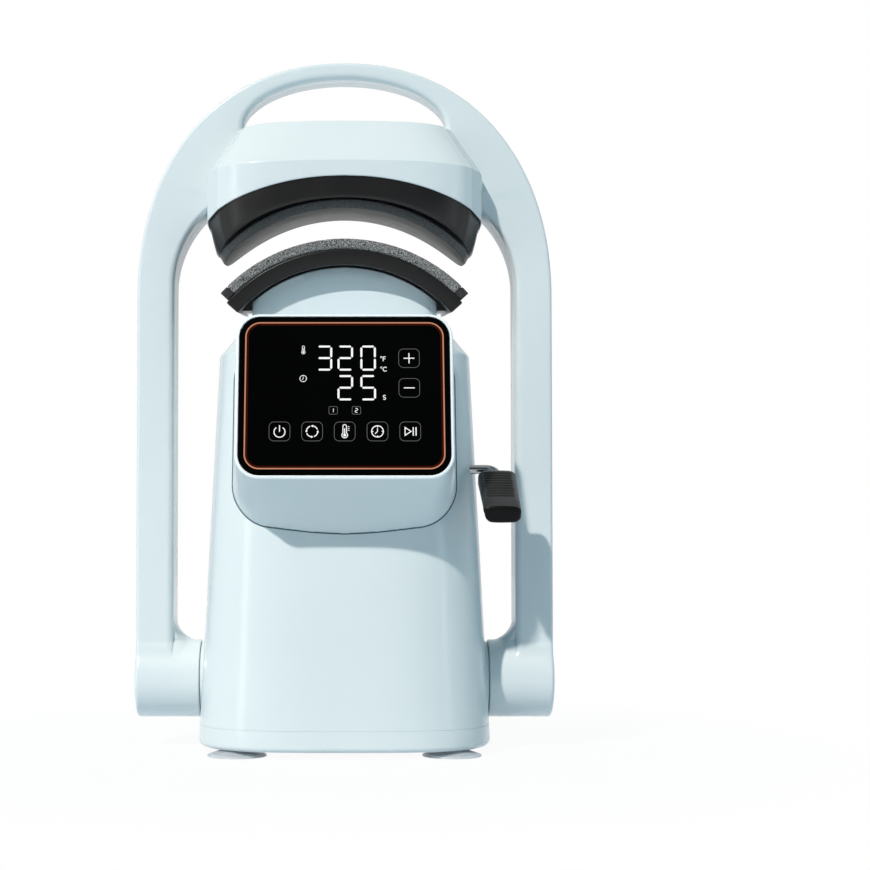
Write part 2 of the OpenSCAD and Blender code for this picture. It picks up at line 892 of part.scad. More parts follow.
// Heated platen: a lip as wide as the shroud, and the block that stands up inside it
module heat_platen() {
    color(dark_grey)
        at_pivot()
            platen_frame() {
                arc_plate(platen_r, platen_r + shroud_lift - gap, platen_angle, platen_depth);
                trimmed_arc_plate(platen_r + shroud_lift / 2, element_r, block_half_w, block_depth);
            }
}

module heating_element() {
    color(brass_tone)
        at_pivot()
            platen_frame()
                difference() {
                    trimmed_arc_plate(element_r, insulation_r, element_half_w, element_depth);
                    standoff_places()
                        cylinder(r = standoff_r + gap, h = insulation_top + 20);
                }
}

module insulation_pad() {
    color("white")
        at_pivot()
            platen_frame()
                difference() {
                    trimmed_arc_plate(insulation_r, insulation_top, element_half_w, element_depth);
                    standoff_places()
                        cylinder(r = standoff_r + gap, h = insulation_top + 20);
                }
}

// Button-shaped cut-out on its flange, on top of the insulation
module thermal_cutout() {
    button_r = 5.5;
    button_h = 3.2;
    flange_half_w = 10;
    flange_half_d = 4;
    flange_t = 0.8;
    color(soft_black)
        at_pivot()
            platen_frame()
                translate([0, -standoff_y / 2, insulation_top]) {
                    cylinder(r = button_r, h = button_h);
                    linear_extrude(flange_t)
                        polygon(round_rect(flange_half_w, -flange_half_d, flange_half_d, flange_half_d / 2));
                }
}

// Lower platen: foam pad on a curved carrier
module press_pad() {
    color(foam_grey)
        at_pivot()
            platen_frame(lift)
                arc_plate(carrier_r, pad_r, pad_angle, pad_depth);
}

module platen_carrier() {
    color(soft_black)
        at_pivot()
            platen_frame(lift)
                arc_plate(carrier_in_r, carrier_r, carrier_angle, pad_depth + 2 * carrier_lip);
}

module pedestal_plan(inset) {
    polygon([
        for (p = outline(pedestal_half_w - inset, pedestal_half_d - inset, pedestal_half_d - inset, 8, 0))
            [p[0], p[1]]
    ]);
}

// Hollow pedestal with a saddle inside its rim that carries the curved carrier
module pedestal() {
    reach = 2 * pedestal_half_d;
    color(pale_blue)
        at_pivot()
            difference() {
                intersection() {
                    translate([0, -platen_forward, pedestal_z])
                        linear_extrude(carrier_r)
                            pedestal_plan(0);
                    platen_frame(lift) {
                        y_rod(carrier_in_r - shadow_gap, -reach, reach);
                        y_rod(carrier_in_r, -saddle_half_d, saddle_half_d);
                    }
                }
                intersection() {
                    translate([0, -platen_forward, pedestal_z - 1])
                        linear_extrude(carrier_r)
                            pedestal_plan(pedestal_wall);
                    platen_frame(lift)
                        y_rod(carrier_in_r - shadow_gap - pedestal_wall, -reach, reach);
                }
            }
}

// Steel bracket that props one end of the carrier from the side of the pedestal
module carrier_bracket(side) {
    lip = bracket_lip;
    length = bracket_end - pedestal_half_w;
    scale_side(side)
        platen_frame(lift)
            translate([pedestal_half_w, 0, bracket_top - bracket_t - lip])
                rotate([90, 0, 0])
                    linear_extrude(2 * saddle_half_d, center = true)
                        polygon([[0, lip], [0, lip + bracket_t], [length, lip + bracket_t], [length, 0],
                            [length - lip, 0], [length - lip, lip]]);
}

module carrier_bracket_left() {
    color(steel)
        at_pivot()
            carrier_bracket(-1);
}

module carrier_bracket_right() {
    color(steel)
        at_pivot()
            carrier_bracket(1);
}

module lift_plate() {
    color(steel)
        at_pivot()
            translate([0, 0, lift_plate_z])
                linear_extrude(lift_plate_t) {
                    polygon(round_rect(post_x + 10, -platen_forward - pedestal_half_d, post_y + 12, 5));
                    polygon(round_rect(cam_w, -lift_front, post_y, 5));
                }
}

module guide_posts() {
    color(steel)
        at_pivot()
            both_sides()
                translate([post_x, post_y, lift_plate_z - post_len])
                    cylinder(r = post_r, h = post_len);
}

// Round-nosed follower under the lift plate
module cam_follower() {
    rest_z = lever_z + cam_r;
    color(steel)
        at_pivot()
            translate([-cam_w / 2 + 1, 0, 0])
                rotate([90, 0, 90])
                    linear_extrude(cam_w - 2) {
                        translate([-lever_forward, rest_z])
                            circle(nose_r);
                        translate([-lever_forward - nose_r, rest_z])
                            square([2 * nose_r, lift_plate_z - rest_z]);
                    }
}

// Lever: shaft with a bent rod, which turns the cam
module lever_frame() {
    translate([0, -lever_forward, lever_z])
        children();
}

// Frame of the grip: its length runs along Z of this frame, its ribbed face is +Y
module grip_frame() {
    lever_frame()
        translate([grip_x, 0, 0])
            rotate([90 + lever_drop, 0, 0])
                children();
}

module lever_rod() {
    color(steel)
        at_pivot() {
            lever_frame() {
                x_rod(shaft_r, -shaft_end, shaft_end);
                x_rod(rod_r, shaft_end - 1, elbow_x);
            }
            grip_frame()
                rotate([90, 0, 0])
                    translate([-elbow_r, elbow_r, 0])
                        rotate([0, 0, -90])
                            rotate_extrude(angle = 90)
                                translate([elbow_r, 0])
                                    circle(rod_r + elbow_swell);
            grip_frame()
                translate([0, 0, elbow_r])
                    cylinder(r = rod_r, h = grip_start + rod_in_grip - elbow_r);
        }
}

// Constant-rise cam: the lever's turn lifts the follower's centre in step. A point is given the
// slope k of the rise there, and the nose's own arc lies between dwell and rise.
function cam_pitch(t) = cam_r + cam_rise * min(max(t, 0), lever_turn) * PI / 180;
function cam_point(t, k) =
    let (
        r = cam_pitch(t), n = norm([r, k]),
        out = [sin(t), cos(t)], along = [cos(t), -sin(t)]
    )
    r * out - (nose_r + gap) * (r * out - k * along) / n;
cam_low = cam_r - nose_r - gap;
cam_high = cam_r + lift - nose_r - gap;
cam_hold = 12;
function cam_return(s) = cam_low + (cam_high - cam_low) * (1 + cos(180 * s)) / 2;
cam_outline = concat(
    [for (i = [0 : 4]) cam_point(-cam_hold * (1 - i / 4), 0)],
    [for (i = [1 : 4]) cam_point(0, cam_rise * i / 4)],
    [for (i = [1 : 19]) cam_point(lever_turn * i / 20, cam_rise)],
    [for (i = [0 : 4]) cam_point(lever_turn + cam_hold * i / 4, 0)],
    [for (i = [1 : 24])
        let (s = i / 25, t = lever_turn + cam_hold + (360 - lever_turn - 2 * cam_hold) * s)
        cam_return(min(1, 2 * s)) * [sin(t), cos(t)]]
);

module lift_cam() {
    color(dark_grey)
        at_pivot()
            lever_frame()
                difference() {
                    side_sheet(-cam_w / 2, cam_w)
                        polygon(cam_outline);
                    x_rod(shaft_r + run_fit, -cam_w, cam_w);
                }
}

module shaft_collars() {
    color(steel)
        at_pivot()
            lever_frame()
                both_sides()
                    difference() {
                        x_rod(shaft_r + 3.5, chassis_half_w + 2, shaft_end - 1);
                        x_rod(shaft_r + run_fit, chassis_half_w, shaft_end + 1);
                    }
}

// Ribbed grip: rings along its length, with the ribbed face drawn in at each groove
function grip_ring(s, shrink, drop) = raised(
    round_rect(grip_w / 2 - shrink, -grip_t / 2 + shrink, grip_t / 2 - shrink - drop, 3, 3), s);
rib_from = grip_start + 5;
grip_plain = 12;
rib_pitch = (grip_len - grip_plain) / rib_n;

module lever_grip() {
    end = grip_start + grip_len;
    color(soft_black)
        at_pivot()
            grip_frame()
                difference() {
                    skin(concat(
                        [grip_ring(grip_start, 1.5, 0), grip_ring(grip_start + 1.5, 0, 0)],
                        [for (i = [0 : rib_n - 1], q = [[0, 0], [0.25, rib_h], [0.5, rib_h], [0.75, 0]])
                            grip_ring(rib_from + rib_pitch * (i + q[0]), 0, q[1])],
                        [grip_ring(end - 1.2, 0, 0), grip_ring(end, 1.2, 0)]
                    ));
                    cylinder(r = rod_r + run_fit, h = grip_start + rod_in_grip + gap);
                }
}

// Base pan: shallow tray with a rounded lower edge
function body_outline(inset, z) = outline(
    body_half_w(z) - inset, body_half_d(z) - inset, body_half_d(z) - inset, body_power, z);

module base_pan() {
    color(pale_blue)
        at_pivot()
            difference() {
                skin([
                    body_outline(pan_r, pan_z),
                    body_outline(0.3 * pan_r, pan_z + 0.3 * pan_r),
                    body_outline(0, pan_z + pan_r),
                    body_outline(0, seam_z),
                    body_outline(body_wall, seam_z),
                    body_outline(body_wall, pan_top)
                ]);
                foot_places()
                    cylinder(r = foot_stem_r + 0.1, h = seam_z);
                screw_places() {
                    cylinder(r = screw_r + 0.1, h = seam_z);
                    cylinder(r = screw_head_r + gap, h = pan_z + 2.2);
                }
            }
}

module foot_places() {
    for (x = [-foot_x, foot_x], y = [-foot_y, foot_y])
        translate([x, y, 0])
            children();
}

module screw_places() {
    for (x = [-screw_x, screw_x], y = screw_y)
        translate([x, y, 0])
            children();
}

module base_screws() {
    color(steel)
        at_pivot()
            screw_places()
                translate([0, 0, pan_z + 0.2]) {
                    cylinder(r = screw_head_r, h = 2);
                    cylinder(r = screw_r, h = pan_floor + chassis_t + 2);
                }
}

// Suction foot: a thin cup on a stem that snaps into the base pan
module suction_foot(x, y) {
    head_z = pan_top + 0.1;
    lip = 4;
    lip_t = 0.8;
    neck_r = foot_r - 9;
    translate([x, y, 0])
        rotate_extrude()
            polygon([[0, pan_z - 2 * lip_t], [foot_head_r, pan_z - 2 * lip_t - 0.2], [foot_r - lip, 0],
                [foot_r, 0], [foot_r - 0.3, lip_t], [neck_r + 2, pan_z - 0.6], [neck_r, pan_z],
                [foot_stem_r, pan_z], [foot_stem_r, head_z], [foot_head_r, head_z],
                [foot_stem_r, head_z + 2 * lip_t], [0, head_z + 2 * lip_t]]);
}

module foot_front_left() {
    color("gray")
        at_pivot()
            suction_foot(-foot_x, -foot_y);
}

module foot_front_right() {
    color("gray")
        at_pivot()
            suction_foot(foot_x, -foot_y);
}

module foot_rear_left() {
    color("gray")
        at_pivot()
            suction_foot(-foot_x, foot_y);
}

module foot_rear_right() {
    color("gray")
        at_pivot()
            suction_foot(foot_x, foot_y);
}

// Opening in the body's top for the pedestal
function slot_outline(z) = outline(
    pedestal_half_w + slide_gap, pedestal_half_d + slide_gap, pedestal_half_d + slide_gap, 8, z,
    -platen_forward);

// One-piece drafted tower with a chamfered shoulder
module body_shell() {
    in = shoulder_in;
    w = body_wall;
    color(pale_blue)
        at_pivot()
            difference() {
                skin([
                    body_outline(0, seam_z + gap),
                    body_outline(0, shoulder_z),
                    raised(body_outline(in - 1, shoulder_z), body_top_z - 1.2),
                    raised(body_outline(in + 1, shoulder_z), body_top_z),
                    slot_outline(body_top_z),
                    slot_outline(ceiling_z),
                    raised(body_outline(in + w, shoulder_z), ceiling_z),
                    body_outline(w, shoulder_z - w / 2),
                    body_outline(w, seam_z + gap)
                ], loop = true);
                x_rod(axle_r + gap, -arch_half_w, arch_half_w, 0, pivot_z);
                lever_frame()
                    x_rod(rod_r + gap, 0, arch_half_w);
                panel_frame()
                    skin(housing_rings(gap));
                translate([-rear_w / 2 + window_lap, 0, rear_z - rear_h / 2 + window_lap])
                    cube([rear_w - 2 * window_lap, 2 * base_half_d, rear_h - 2 * window_lap]);
            }
}

// Panel: X is across it, Y up its slope, Z out of its face
module panel_frame() {
    translate([0, -panel_forward, panel_z])
        rotate([90 - panel_tilt, 0, 0])
            children();
}

// Outer rings of the panel housing from its back to its face
function housing_ring(grow, z, share) = raised(round_rect(
    glass_w / 2 + panel_rim + panel_flare * share + grow,
    -panel_half_h - panel_fall * share - grow, panel_half_h - panel_top_fall * share + grow,
    glass_r + panel_rim + 4 * share + grow), z);
function housing_rings(grow) = [
    housing_ring(grow, -panel_depth, 1),
    housing_ring(grow, -panel_depth / 2, 0.5),
    housing_ring(grow, -1.5, 0.02),
    housing_ring(grow - panel_edge, 0, 0)
];

// Solid core of the body: the housing ends half-way through the body's wall
module body_core() {
    half = body_wall / 2;
    skin([
        body_outline(half, seam_z),
        body_outline(half, shoulder_z),
        raised(body_outline(shoulder_in + half, shoulder_z), body_top_z)
    ]);
}

module panel_housing() {
    floor_z = glass_floor;
    color(pale_blue)
        at_pivot()
            difference() {
                panel_frame()
                    skin(concat(
                        [
                            housing_ring(-panel_wall, floor_z - panel_wall, 0.06),
                            housing_ring(-panel_wall, -panel_depth / 2, 0.5),
                            housing_ring(-panel_wall, -panel_depth, 1)
                        ],
                        housing_rings(0),
                        [
                            raised(round_rect(glass_w / 2 + gap, -glass_h / 2 - gap, glass_h / 2 + gap,
                                glass_r + gap), 0),
                            raised(round_rect(glass_w / 2 + gap, -glass_h / 2 - gap, glass_h / 2 + gap,
                                glass_r + gap), floor_z)
                        ]
                    ));
                body_core();
            }
}

module panel_glass() {
    color(soft_black)
        at_pivot()
            panel_frame()
                translate([0, 0, -glass_t])
                    linear_extrude(glass_t)
                        polygon(round_rect(glass_w / 2, -glass_h / 2, glass_h / 2, glass_r));
}

// Display board on four posts behind the glass floor
module display_board() {
    seat = glass_floor - panel_wall - gap;
    board_w = glass_w / 2 - board_margin;
    board_h = glass_h / 2 - board_margin;
    post_in = 2 * board_post_r;
    post_h = 4;
    color("darkgreen")
        at_pivot()
            panel_frame() {
                translate([0, 0, seat - post_h - board_t / 2])
                    linear_extrude(board_t)
                        polygon(round_rect(board_w, -board_h, board_h, board_t));
                for (x = [-board_w + post_in, board_w - post_in], y = [-board_h + post_in, board_h - post_in])
                    translate([x, y, seat - post_h])
                        cylinder(r = board_post_r, h = post_h);
            }
}

// Control board on posts over the chassis floor: relay, transformer and finned heat sink
module control_board() {
    seat = pan_top + chassis_t;
    post_h = 6;
    board_z = seat + post_h;
    margin = 4;
    post_in = 5;
    y0 = -chassis_front + margin;
    y1 = -axle_r - margin;
    half_w = cheek_in - margin;
    transformer = [30, 24, 24];
    relay = [18, 14, 16];
    fin = [1.8, 26, 22];
    fin_n = 5;
    part_y = y0 + 2 * post_in;
    color("darkgreen")
        at_pivot() {
            translate([-half_w, y0, board_z])
                cube([2 * half_w, y1 - y0, board_t]);
            for (x = [-half_w + post_in, half_w - post_in], y = [y0 + post_in, y1 - post_in])
                translate([x, y, seat])
                    cylinder(r = board_post_r, h = post_h + board_t / 2);
            translate([-half_w + 2 * post_in, part_y, board_z])
                cube(transformer);
            translate([0, part_y, board_z])
                cube(relay);
            for (i = [1 : fin_n])
                translate([relay[0] + 2 * fin[0] * i, part_y, board_z])
                    cube(fin);
        }
}

// Bent steel chassis: floor, two cheeks and the bridge for the guides
module chassis_frame() {
    cheek = [[-chassis_front, pan_top], [chassis_back, pan_top], [chassis_back, bridge_z],
        [bridge_back, chassis_top_z - 12], [bridge_front - 6, chassis_top_z],
        [-chassis_front, chassis_top_z]];
    color(steel)
        at_pivot()
            difference() {
                union() {
                    for (x = [-chassis_half_w, cheek_in])
                        side_sheet(x, chassis_t)
                            polygon(cheek);
                    translate([-chassis_half_w, -chassis_front, pan_top])
                        cube([2 * chassis_half_w, chassis_front + chassis_back, chassis_t]);
                    translate([-chassis_half_w, bridge_front, bridge_z])
                        cube([2 * chassis_half_w, bridge_back - bridge_front, chassis_t]);
                }
                x_rod(axle_r + run_fit, -arch_half_w, arch_half_w, 0, pivot_z);
                lever_frame()
                    x_rod(shaft_r + sleeve_wall, -arch_half_w, arch_half_w);
                for (z = [pivot_z + 3 * light_hole_r, pivot_z + 6 * light_hole_r])
                    x_rod(light_hole_r, -arch_half_w, arch_half_w, -light_hole_r, z);
                both_sides()
                    translate([post_x, post_y, bridge_z - 1])
                        cylinder(r = post_r + sleeve_wall, h = chassis_t + 2);
                screw_places()
                    cylinder(r = screw_r + 0.1, h = pan_top + 20);
            }
}

module pivot_axle() {
    color(steel)
        at_pivot()
            difference() {
                x_rod(axle_r, -axle_half, axle_half, 0, pivot_z);
                both_sides() {
                    translate([stop_x, 0, pivot_z + 1])
                        cylinder(r = stop_pin_r + 0.02, h = axle_r);
                    difference() {
                        x_rod(axle_r + 1, clip_x - run_fit, clip_x + clip_t + run_fit, 0, pivot_z);
                        x_rod(axle_r - clip_groove, clip_x - 1, clip_x + clip_t + 1, 0, pivot_z);
                    }
                }
            }
}

module axle_clips() {
    color(steel)
        at_pivot()
            both_sides()
                difference() {
                    x_rod(axle_r + 2.6, clip_x, clip_x + clip_t, 0, pivot_z);
                    x_rod(axle_r - clip_groove + run_fit, clip_x - 1, clip_x + clip_t + 1, 0, pivot_z);
                    translate([clip_x - 1, -2, pivot_z - 2 * axle_r])
                        cube([clip_t + 2, 4, 2 * axle_r]);
                }
}

// Pins in the axle that stop the swing of the arch at both ends
module stop_pins() {
    color(steel)
        at_pivot()
            both_sides()
                translate([stop_x, 0, pivot_z + 1])
                    cylinder(r = stop_pin_r, h = stop_reach - 1);
}

module camshaft_bushes() {
    color(brass_tone)
        at_pivot()
            lever_frame()
                both_sides()
                    difference() {
                        union() {
                            x_rod(shaft_r + sleeve_wall, cheek_in - 4, chassis_half_w);
                            x_rod(shaft_r + sleeve_wall + 2, chassis_half_w, chassis_half_w + 1.6);
                        }
                        x_rod(shaft_r + run_fit, 0, arch_half_w);
                    }
}

module guide_bushes() {
    color(brass_tone)
        at_pivot()
            both_sides()
                translate([post_x, post_y, 0])
                    difference() {
                        union() {
                            translate([0, 0, bridge_z - guide_hang])
                                cylinder(r = post_r + sleeve_wall, h = guide_hang + chassis_t);
                            translate([0, 0, bridge_z + chassis_t])
                                cylinder(r = post_r + sleeve_wall + guide_lip, h = guide_lip);
                        }
                        cylinder(r = post_r + run_fit, h = 2 * bridge_z);
                    }
}

// Rear panel behind a window in the body, with the mains inlet and the switch
module rear_panel() {
    color(soft_black)
        at_pivot()
            difference() {
                translate([-rear_w / 2, rear_y - rear_t, rear_z - rear_h / 2])
                    cube([rear_w, rear_t, rear_h]);
                translate([inlet_x - inlet_w / 2 - inlet_wall - gap, 0, rear_z - inlet_h / 2 - inlet_wall - gap])
                    cube([inlet_w + 2 * inlet_wall + 2 * gap, base_half_d, inlet_h + 2 * inlet_wall + 2 * gap]);
                translate([rocker_x - rocker_w / 2 - rocker_wall - gap, 0, rear_z - rocker_r - rocker_wall - gap])
                    cube([rocker_w + 2 * rocker_wall + 2 * gap, base_half_d,
                        2 * (rocker_r + rocker_wall + gap)]);
            }
}

// Mains inlet: flange, socket with bevelled upper corners, and three blades
module power_inlet() {
    flange = 3;
    bevel = [5, 4];
    blade = [2, 4];
    blade_x = 7;
    blade_y = 2;
    blade_len = inlet_d - 6;
    w = inlet_w / 2;
    h = inlet_h / 2;
    color(soft_black)
        at_pivot()
            translate([inlet_x, rear_y, rear_z])
                rotate([-90, 0, 0]) {
                    difference() {
                        union() {
                            linear_extrude(bezel_t)
                                square([inlet_w + 2 * inlet_wall + 2 * flange,
                                    inlet_h + 2 * inlet_wall + 2 * flange], center = true);
                            translate([0, 0, -inlet_d - inlet_wall + bezel_t])
                                linear_extrude(inlet_d + inlet_wall)
                                    square([inlet_w + 2 * inlet_wall, inlet_h + 2 * inlet_wall], center = true);
                        }
                        translate([0, 0, bezel_t - inlet_d])
                            linear_extrude(inlet_d + 1)
                                polygon([[-w, h], [-w, -h + bevel[1]], [-w + bevel[0], -h],
                                    [w - bevel[0], -h], [w, -h + bevel[1]], [w, h]]);
                    }
                    for (p = [[-blade_x, blade_y], [0, -blade_y], [blade_x, blade_y]])
                        translate([p[0], p[1], bezel_t - inlet_d - 1])
                            linear_extrude(blade_len + 1)
                                square(blade, center = true);
                }
}

module switch_frame() {
    half_w = rocker_w / 2 + rocker_wall;
    half_h = rocker_r + rocker_wall;
    lap = rocker_flange;
    color(soft_black)
        at_pivot()
            difference() {
                union() {
                    translate([rocker_x - half_w - lap, rear_y, rear_z - half_h - lap])
                        cube([2 * (half_w + lap), bezel_t, 2 * (half_h + lap)]);
                    translate([rocker_x - half_w, rear_y - switch_d, rear_z - half_h])
                        cube([2 * half_w, switch_d + bezel_t, 2 * half_h]);
                }
                x_rod(rocker_r + gap, rocker_x - rocker_w / 2 - gap, rocker_x + rocker_w / 2 + gap, rear_y, rear_z);
            }
}

// Rocker: a drum about its own hinge, with two flat faces that meet at the middle
module power_rocker() {
    reach = 2 * rocker_r;
    color(dark_grey)
        at_pivot()
            translate([0, rear_y, rear_z])
                rotate([-rocker_lean, 0, 0])
                    difference() {
                        x_rod(rocker_r, rocker_x - rocker_w / 2, rocker_x + rocker_w / 2);
                        for (turn = [-rocker_lean, rocker_lean])
                            rotate([turn, 0, 0])
                                translate([rocker_x - reach, rocker_face, turn < 0 ? 0 : -reach])
                                    cube([2 * reach, reach, reach]);
                    }
}

base_pan();
body_shell();
rear_panel();
panel_housing();
panel_glass();
display_board();
control_board();
chassis_frame();
pivot_axle();
axle_clips();
stop_pins();
camshaft_bushes();
guide_bushes();
base_screws();
foot_front_left();
foot_front_right();
foot_rear_left();
foot_rear_right();
power_inlet();
switch_frame();
arch_front_shell();
arch_rear_shell();
arch_core();
arch_screws();
pivot_barrel_left();
pivot_barrel_right();
pivot_bush_left();
pivot_bush_right();
pivot_cap_left();
pivot_cap_right();
head_front_cover();
head_rear_cover();
head_shroud();
platen_hanger();
platen_standoffs();
heat_platen();
heating_element();
insulation_pad();
thermal_cutout();
pedestal();
lift_plate();
guide_posts();
cam_follower();
platen_carrier();
press_pad();
carrier_bracket_left();
carrier_bracket_right();
lever_rod();
lift_cam();
shaft_collars();
lever_grip();
power_rocker();
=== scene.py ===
"""A cap heat press, dressed over its CAD frame for a studio picture.

Sizes are in millimetres. X runs to the right from the middle of the press, Y to the rear from the pivot
axis of the arch and Z up from the table. They become metres in the CAD frame where a mesh is made.
"""

import json
from math import acos, asin, atan2, copysign, cos, degrees, dist, pi, radians, sin, sqrt, tan

import bmesh
import bpy
from mathutils import Matrix, Vector, noise

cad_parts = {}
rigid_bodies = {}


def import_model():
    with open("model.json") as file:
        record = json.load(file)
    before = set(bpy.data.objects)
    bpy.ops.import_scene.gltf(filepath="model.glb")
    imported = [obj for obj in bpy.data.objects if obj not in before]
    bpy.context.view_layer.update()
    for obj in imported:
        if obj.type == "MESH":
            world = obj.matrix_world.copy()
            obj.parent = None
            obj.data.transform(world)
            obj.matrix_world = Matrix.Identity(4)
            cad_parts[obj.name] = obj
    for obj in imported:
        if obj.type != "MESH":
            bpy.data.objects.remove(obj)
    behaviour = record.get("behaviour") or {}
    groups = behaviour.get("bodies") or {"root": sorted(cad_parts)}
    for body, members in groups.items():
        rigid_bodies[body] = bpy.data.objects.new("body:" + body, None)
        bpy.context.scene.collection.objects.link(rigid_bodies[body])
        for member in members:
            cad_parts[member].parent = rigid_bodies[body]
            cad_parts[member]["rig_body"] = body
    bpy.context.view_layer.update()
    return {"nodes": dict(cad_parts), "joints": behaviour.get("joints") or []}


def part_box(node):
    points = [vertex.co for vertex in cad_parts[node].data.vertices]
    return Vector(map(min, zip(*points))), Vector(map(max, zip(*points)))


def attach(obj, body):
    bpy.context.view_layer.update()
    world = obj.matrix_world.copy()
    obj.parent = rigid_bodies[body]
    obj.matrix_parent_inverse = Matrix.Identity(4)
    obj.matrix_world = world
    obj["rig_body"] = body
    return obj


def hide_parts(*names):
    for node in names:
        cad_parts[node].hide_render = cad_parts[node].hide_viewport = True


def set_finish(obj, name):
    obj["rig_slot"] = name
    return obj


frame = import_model()
nodes = frame["nodes"]
joints = {joint["name"]: joint for joint in frame["joints"]}
scene = bpy.context.scene

MM = 0.001
WELD, SHARP = 0.001, 32   # points this near are one, and an edge with this turn in degrees shows
PIVOT_Y = joints["arch_swing"]["pos_m"][1] / MM


def joint_place(name):
    x, y, z = joints[name]["pos_m"]
    return x / MM, y / MM - PIVOT_Y, z / MM


PIVOT_Z = joint_place("arch_swing")[2]
LEVER_Y, LEVER_Z = joint_place("lever_pull")[1:]

# Arch and pivot
ARCH_W, ARCH_TOP, ARCH_SPRING, ARCH_POWER = 127.2, 420.6, 274.0, 2.18
ARCH_HALF_D, OUTER_EDGE, INNER_EDGE = 17.0, 2.2, 4.2
PARTING_W, PARTING_DEPTH = 0.25, 0.4
LEG_IN, OPENING_R, OPENING_Z, OPENING_TURN = 104.5, 64.0, ARCH_SPRING + 8, 53.0
HANDLE_W, HANDLE_RISE, HANDLE_BAR = 61.5, 29.5, 10.5
HANDLE_Z = ARCH_TOP - HANDLE_BAR - HANDLE_RISE
HANDLE_SLOPE, SLOPE_LEAD = 3.6, 12.0
BARREL_R, BARREL_IN, BARREL_FILLET, BARREL_EDGE = 23.7, 88.1, 15.8, 0.9
BARREL_END, HOOP_START, HOOP_OVERLAP = ARCH_W - 0.05, 32.0, 2.0
WEB_SINK, WEB_SKIN, WEB_WAIST, WEB_BLEND = 0.5, 0.04, 7.0, 12.0
WEB_MIDDLE, WEB_CROWN, WEB_FOOT, WEB_FADE, TINY = 8.0, 6.0, 2.0, 20.0, 0.01
CAP_R, CAP_H, CAP_STEP, CAP_SINK = 19.6, 1.2, 0.2, 0.5
BOSS_R, BOSS_BORE, BOSS_IN, BOSS_END, BOSS_EDGE = 22.6, 7.6, 82.0, BARREL_IN - 0.3, 0.5

# Head and platens
HEAD_W, HEAD_D, HEAD_POWER = 84.0, 57.0, 4.0
HEAD_TOP, HEAD_BEVEL_Z, HEAD_BEVEL, HEAD_CROWN = 378.0, 350.5, 18.0, 2.5
HEAD_STRAIGHT, HEAD_FLAT, HEAD_MIDDLE, HEAD_EDGE, HEAD_FOOT = 8.0, 14.0, 30.0, 1.0, 0.8
HEAD_WALL, HALVES_GAP, FACET_SHARP = 2.6, 0.12, 12
FACETS = (0.985, 0.905, 0.85)   # half widths, as shares, between which the corners of the head are flat
BORDER_Z, BORDER_FALL = 341.2, 22.4
BORDER_R = (HEAD_W ** 2 + BORDER_FALL ** 2) / (2 * BORDER_FALL)
SHROUD_LIFT, SHROUD_INSET, SHROUD_TAPER, SHROUD_TUCK = 5.6, 0.9, 6.0, 4.0
TAPER_Z, TAPER_H = 332.0, 34.0
FORWARD, TILT = 5.0, radians(6)
PLATEN_AXIS, PLATEN_R, LIFT = 225.6, 103.0, 16.0
LIP_T, LIP_ANGLE, LIP_HALF_D, LIP_EDGE, LIP_DRAFT = 5.2, 46.0, 49.0, 0.7, 1.5
BLOCK_T, BLOCK_ANGLE, BLOCK_HALF_D, BLOCK_EDGE, BLOCK_SINK = 8.0, 41.0, 35.0, 0.8, 1.0
PAD_R, PAD_ANGLE, PAD_HALF_D, PAD_EDGE, PAD_GRAIN = 101.4, 44.1, 39.0, 1.2, 0.16
GRAIN_SCALE, GRAIN_SIDE = 0.9, 0.4
END_ANGLE, END_EDGE, END_GRAIN, END_GAP = 47.3, 0.5, 0.05, 0.1
CARRIER_R, CARRIER_IN, CARRIER_ANGLE, CARRIER_HALF_D, CARRIER_EDGE = 94.9, 85.9, 48.4, 40.0, 0.9
BRACKET_TOP, BRACKET_T, BRACKET_LIP, BRACKET_HALF_D, BRACKET_EDGE = 59.0, 1.4, 1.6, 18.0, 0.2
BRACKET_END = sqrt(CARRIER_IN ** 2 - BRACKET_TOP ** 2) - 0.3

# Pedestal, body and feet
PEDESTAL_W, PEDESTAL_D, PEDESTAL_Z, PEDESTAL_POWER, SADDLE_GAP = 56.5, 25.0, 226.0, 8, 1.2
PAN_Z, PAN_ROUND, PAN_IN, PAN_FLOOR = 4.0, 3.2, 30.0, 8.0
SEAM_Z, SEAM_GAP, SEAM_EDGE, SEAM_DEPTH = 16.4, 0.05, 0.15, 0.8
BASE_W, BASE_D, SHOULDER_W, SHOULDER_D, BODY_POWER = 88.5, 80.0, 76.5, 64.0, 3.3
SHOULDER_Z, SHOULDER_IN, SHOULDER_ROUND = 238.0, 13.0, 3.0
BODY_TOP, TOP_ROUND, TOP_FLAT, BODY_WALL, SLOT_GAP = 254.0, 2.0, 8.0, 3.0, 1.0
REAR_LEDGE, REAR_CUT_START, REAR_CUT_END = 3, 40, 95
FOOT_X, FOOT_Y = 63, 55

# Panel
GLASS_W, GLASS_H, GLASS_R, GLASS_T, GLASS_EDGE = 120.0, 94.0, 12.0, 1.8, 0.5
PANEL_Y, PANEL_Z, PANEL_TILT = -96.0, 208.5, radians(13)
PANEL_RIM, PANEL_DEPTH, PANEL_FLARE, RIM_DEPTH, SEAT_DEPTH, SEAT_GAP = 2.0, 60.0, 4.6, 0.9, 2.2, 0.3
PANEL_FALL, PANEL_TOP_FALL, PANEL_BELLY, PANEL_ROUND = 14.5, 10.0, 17.0, 9.0
PANEL_WALL, PANEL_SINK, HOUSING_STEPS, PANEL_COUNT, JOIN_SHADE_R = 2.0, 0.03, 160, 320, 0.55
PANEL = Matrix.Translation((0, PANEL_Y, PANEL_Z)) @ Matrix.Rotation(pi / 2 - PANEL_TILT, 4, "X")

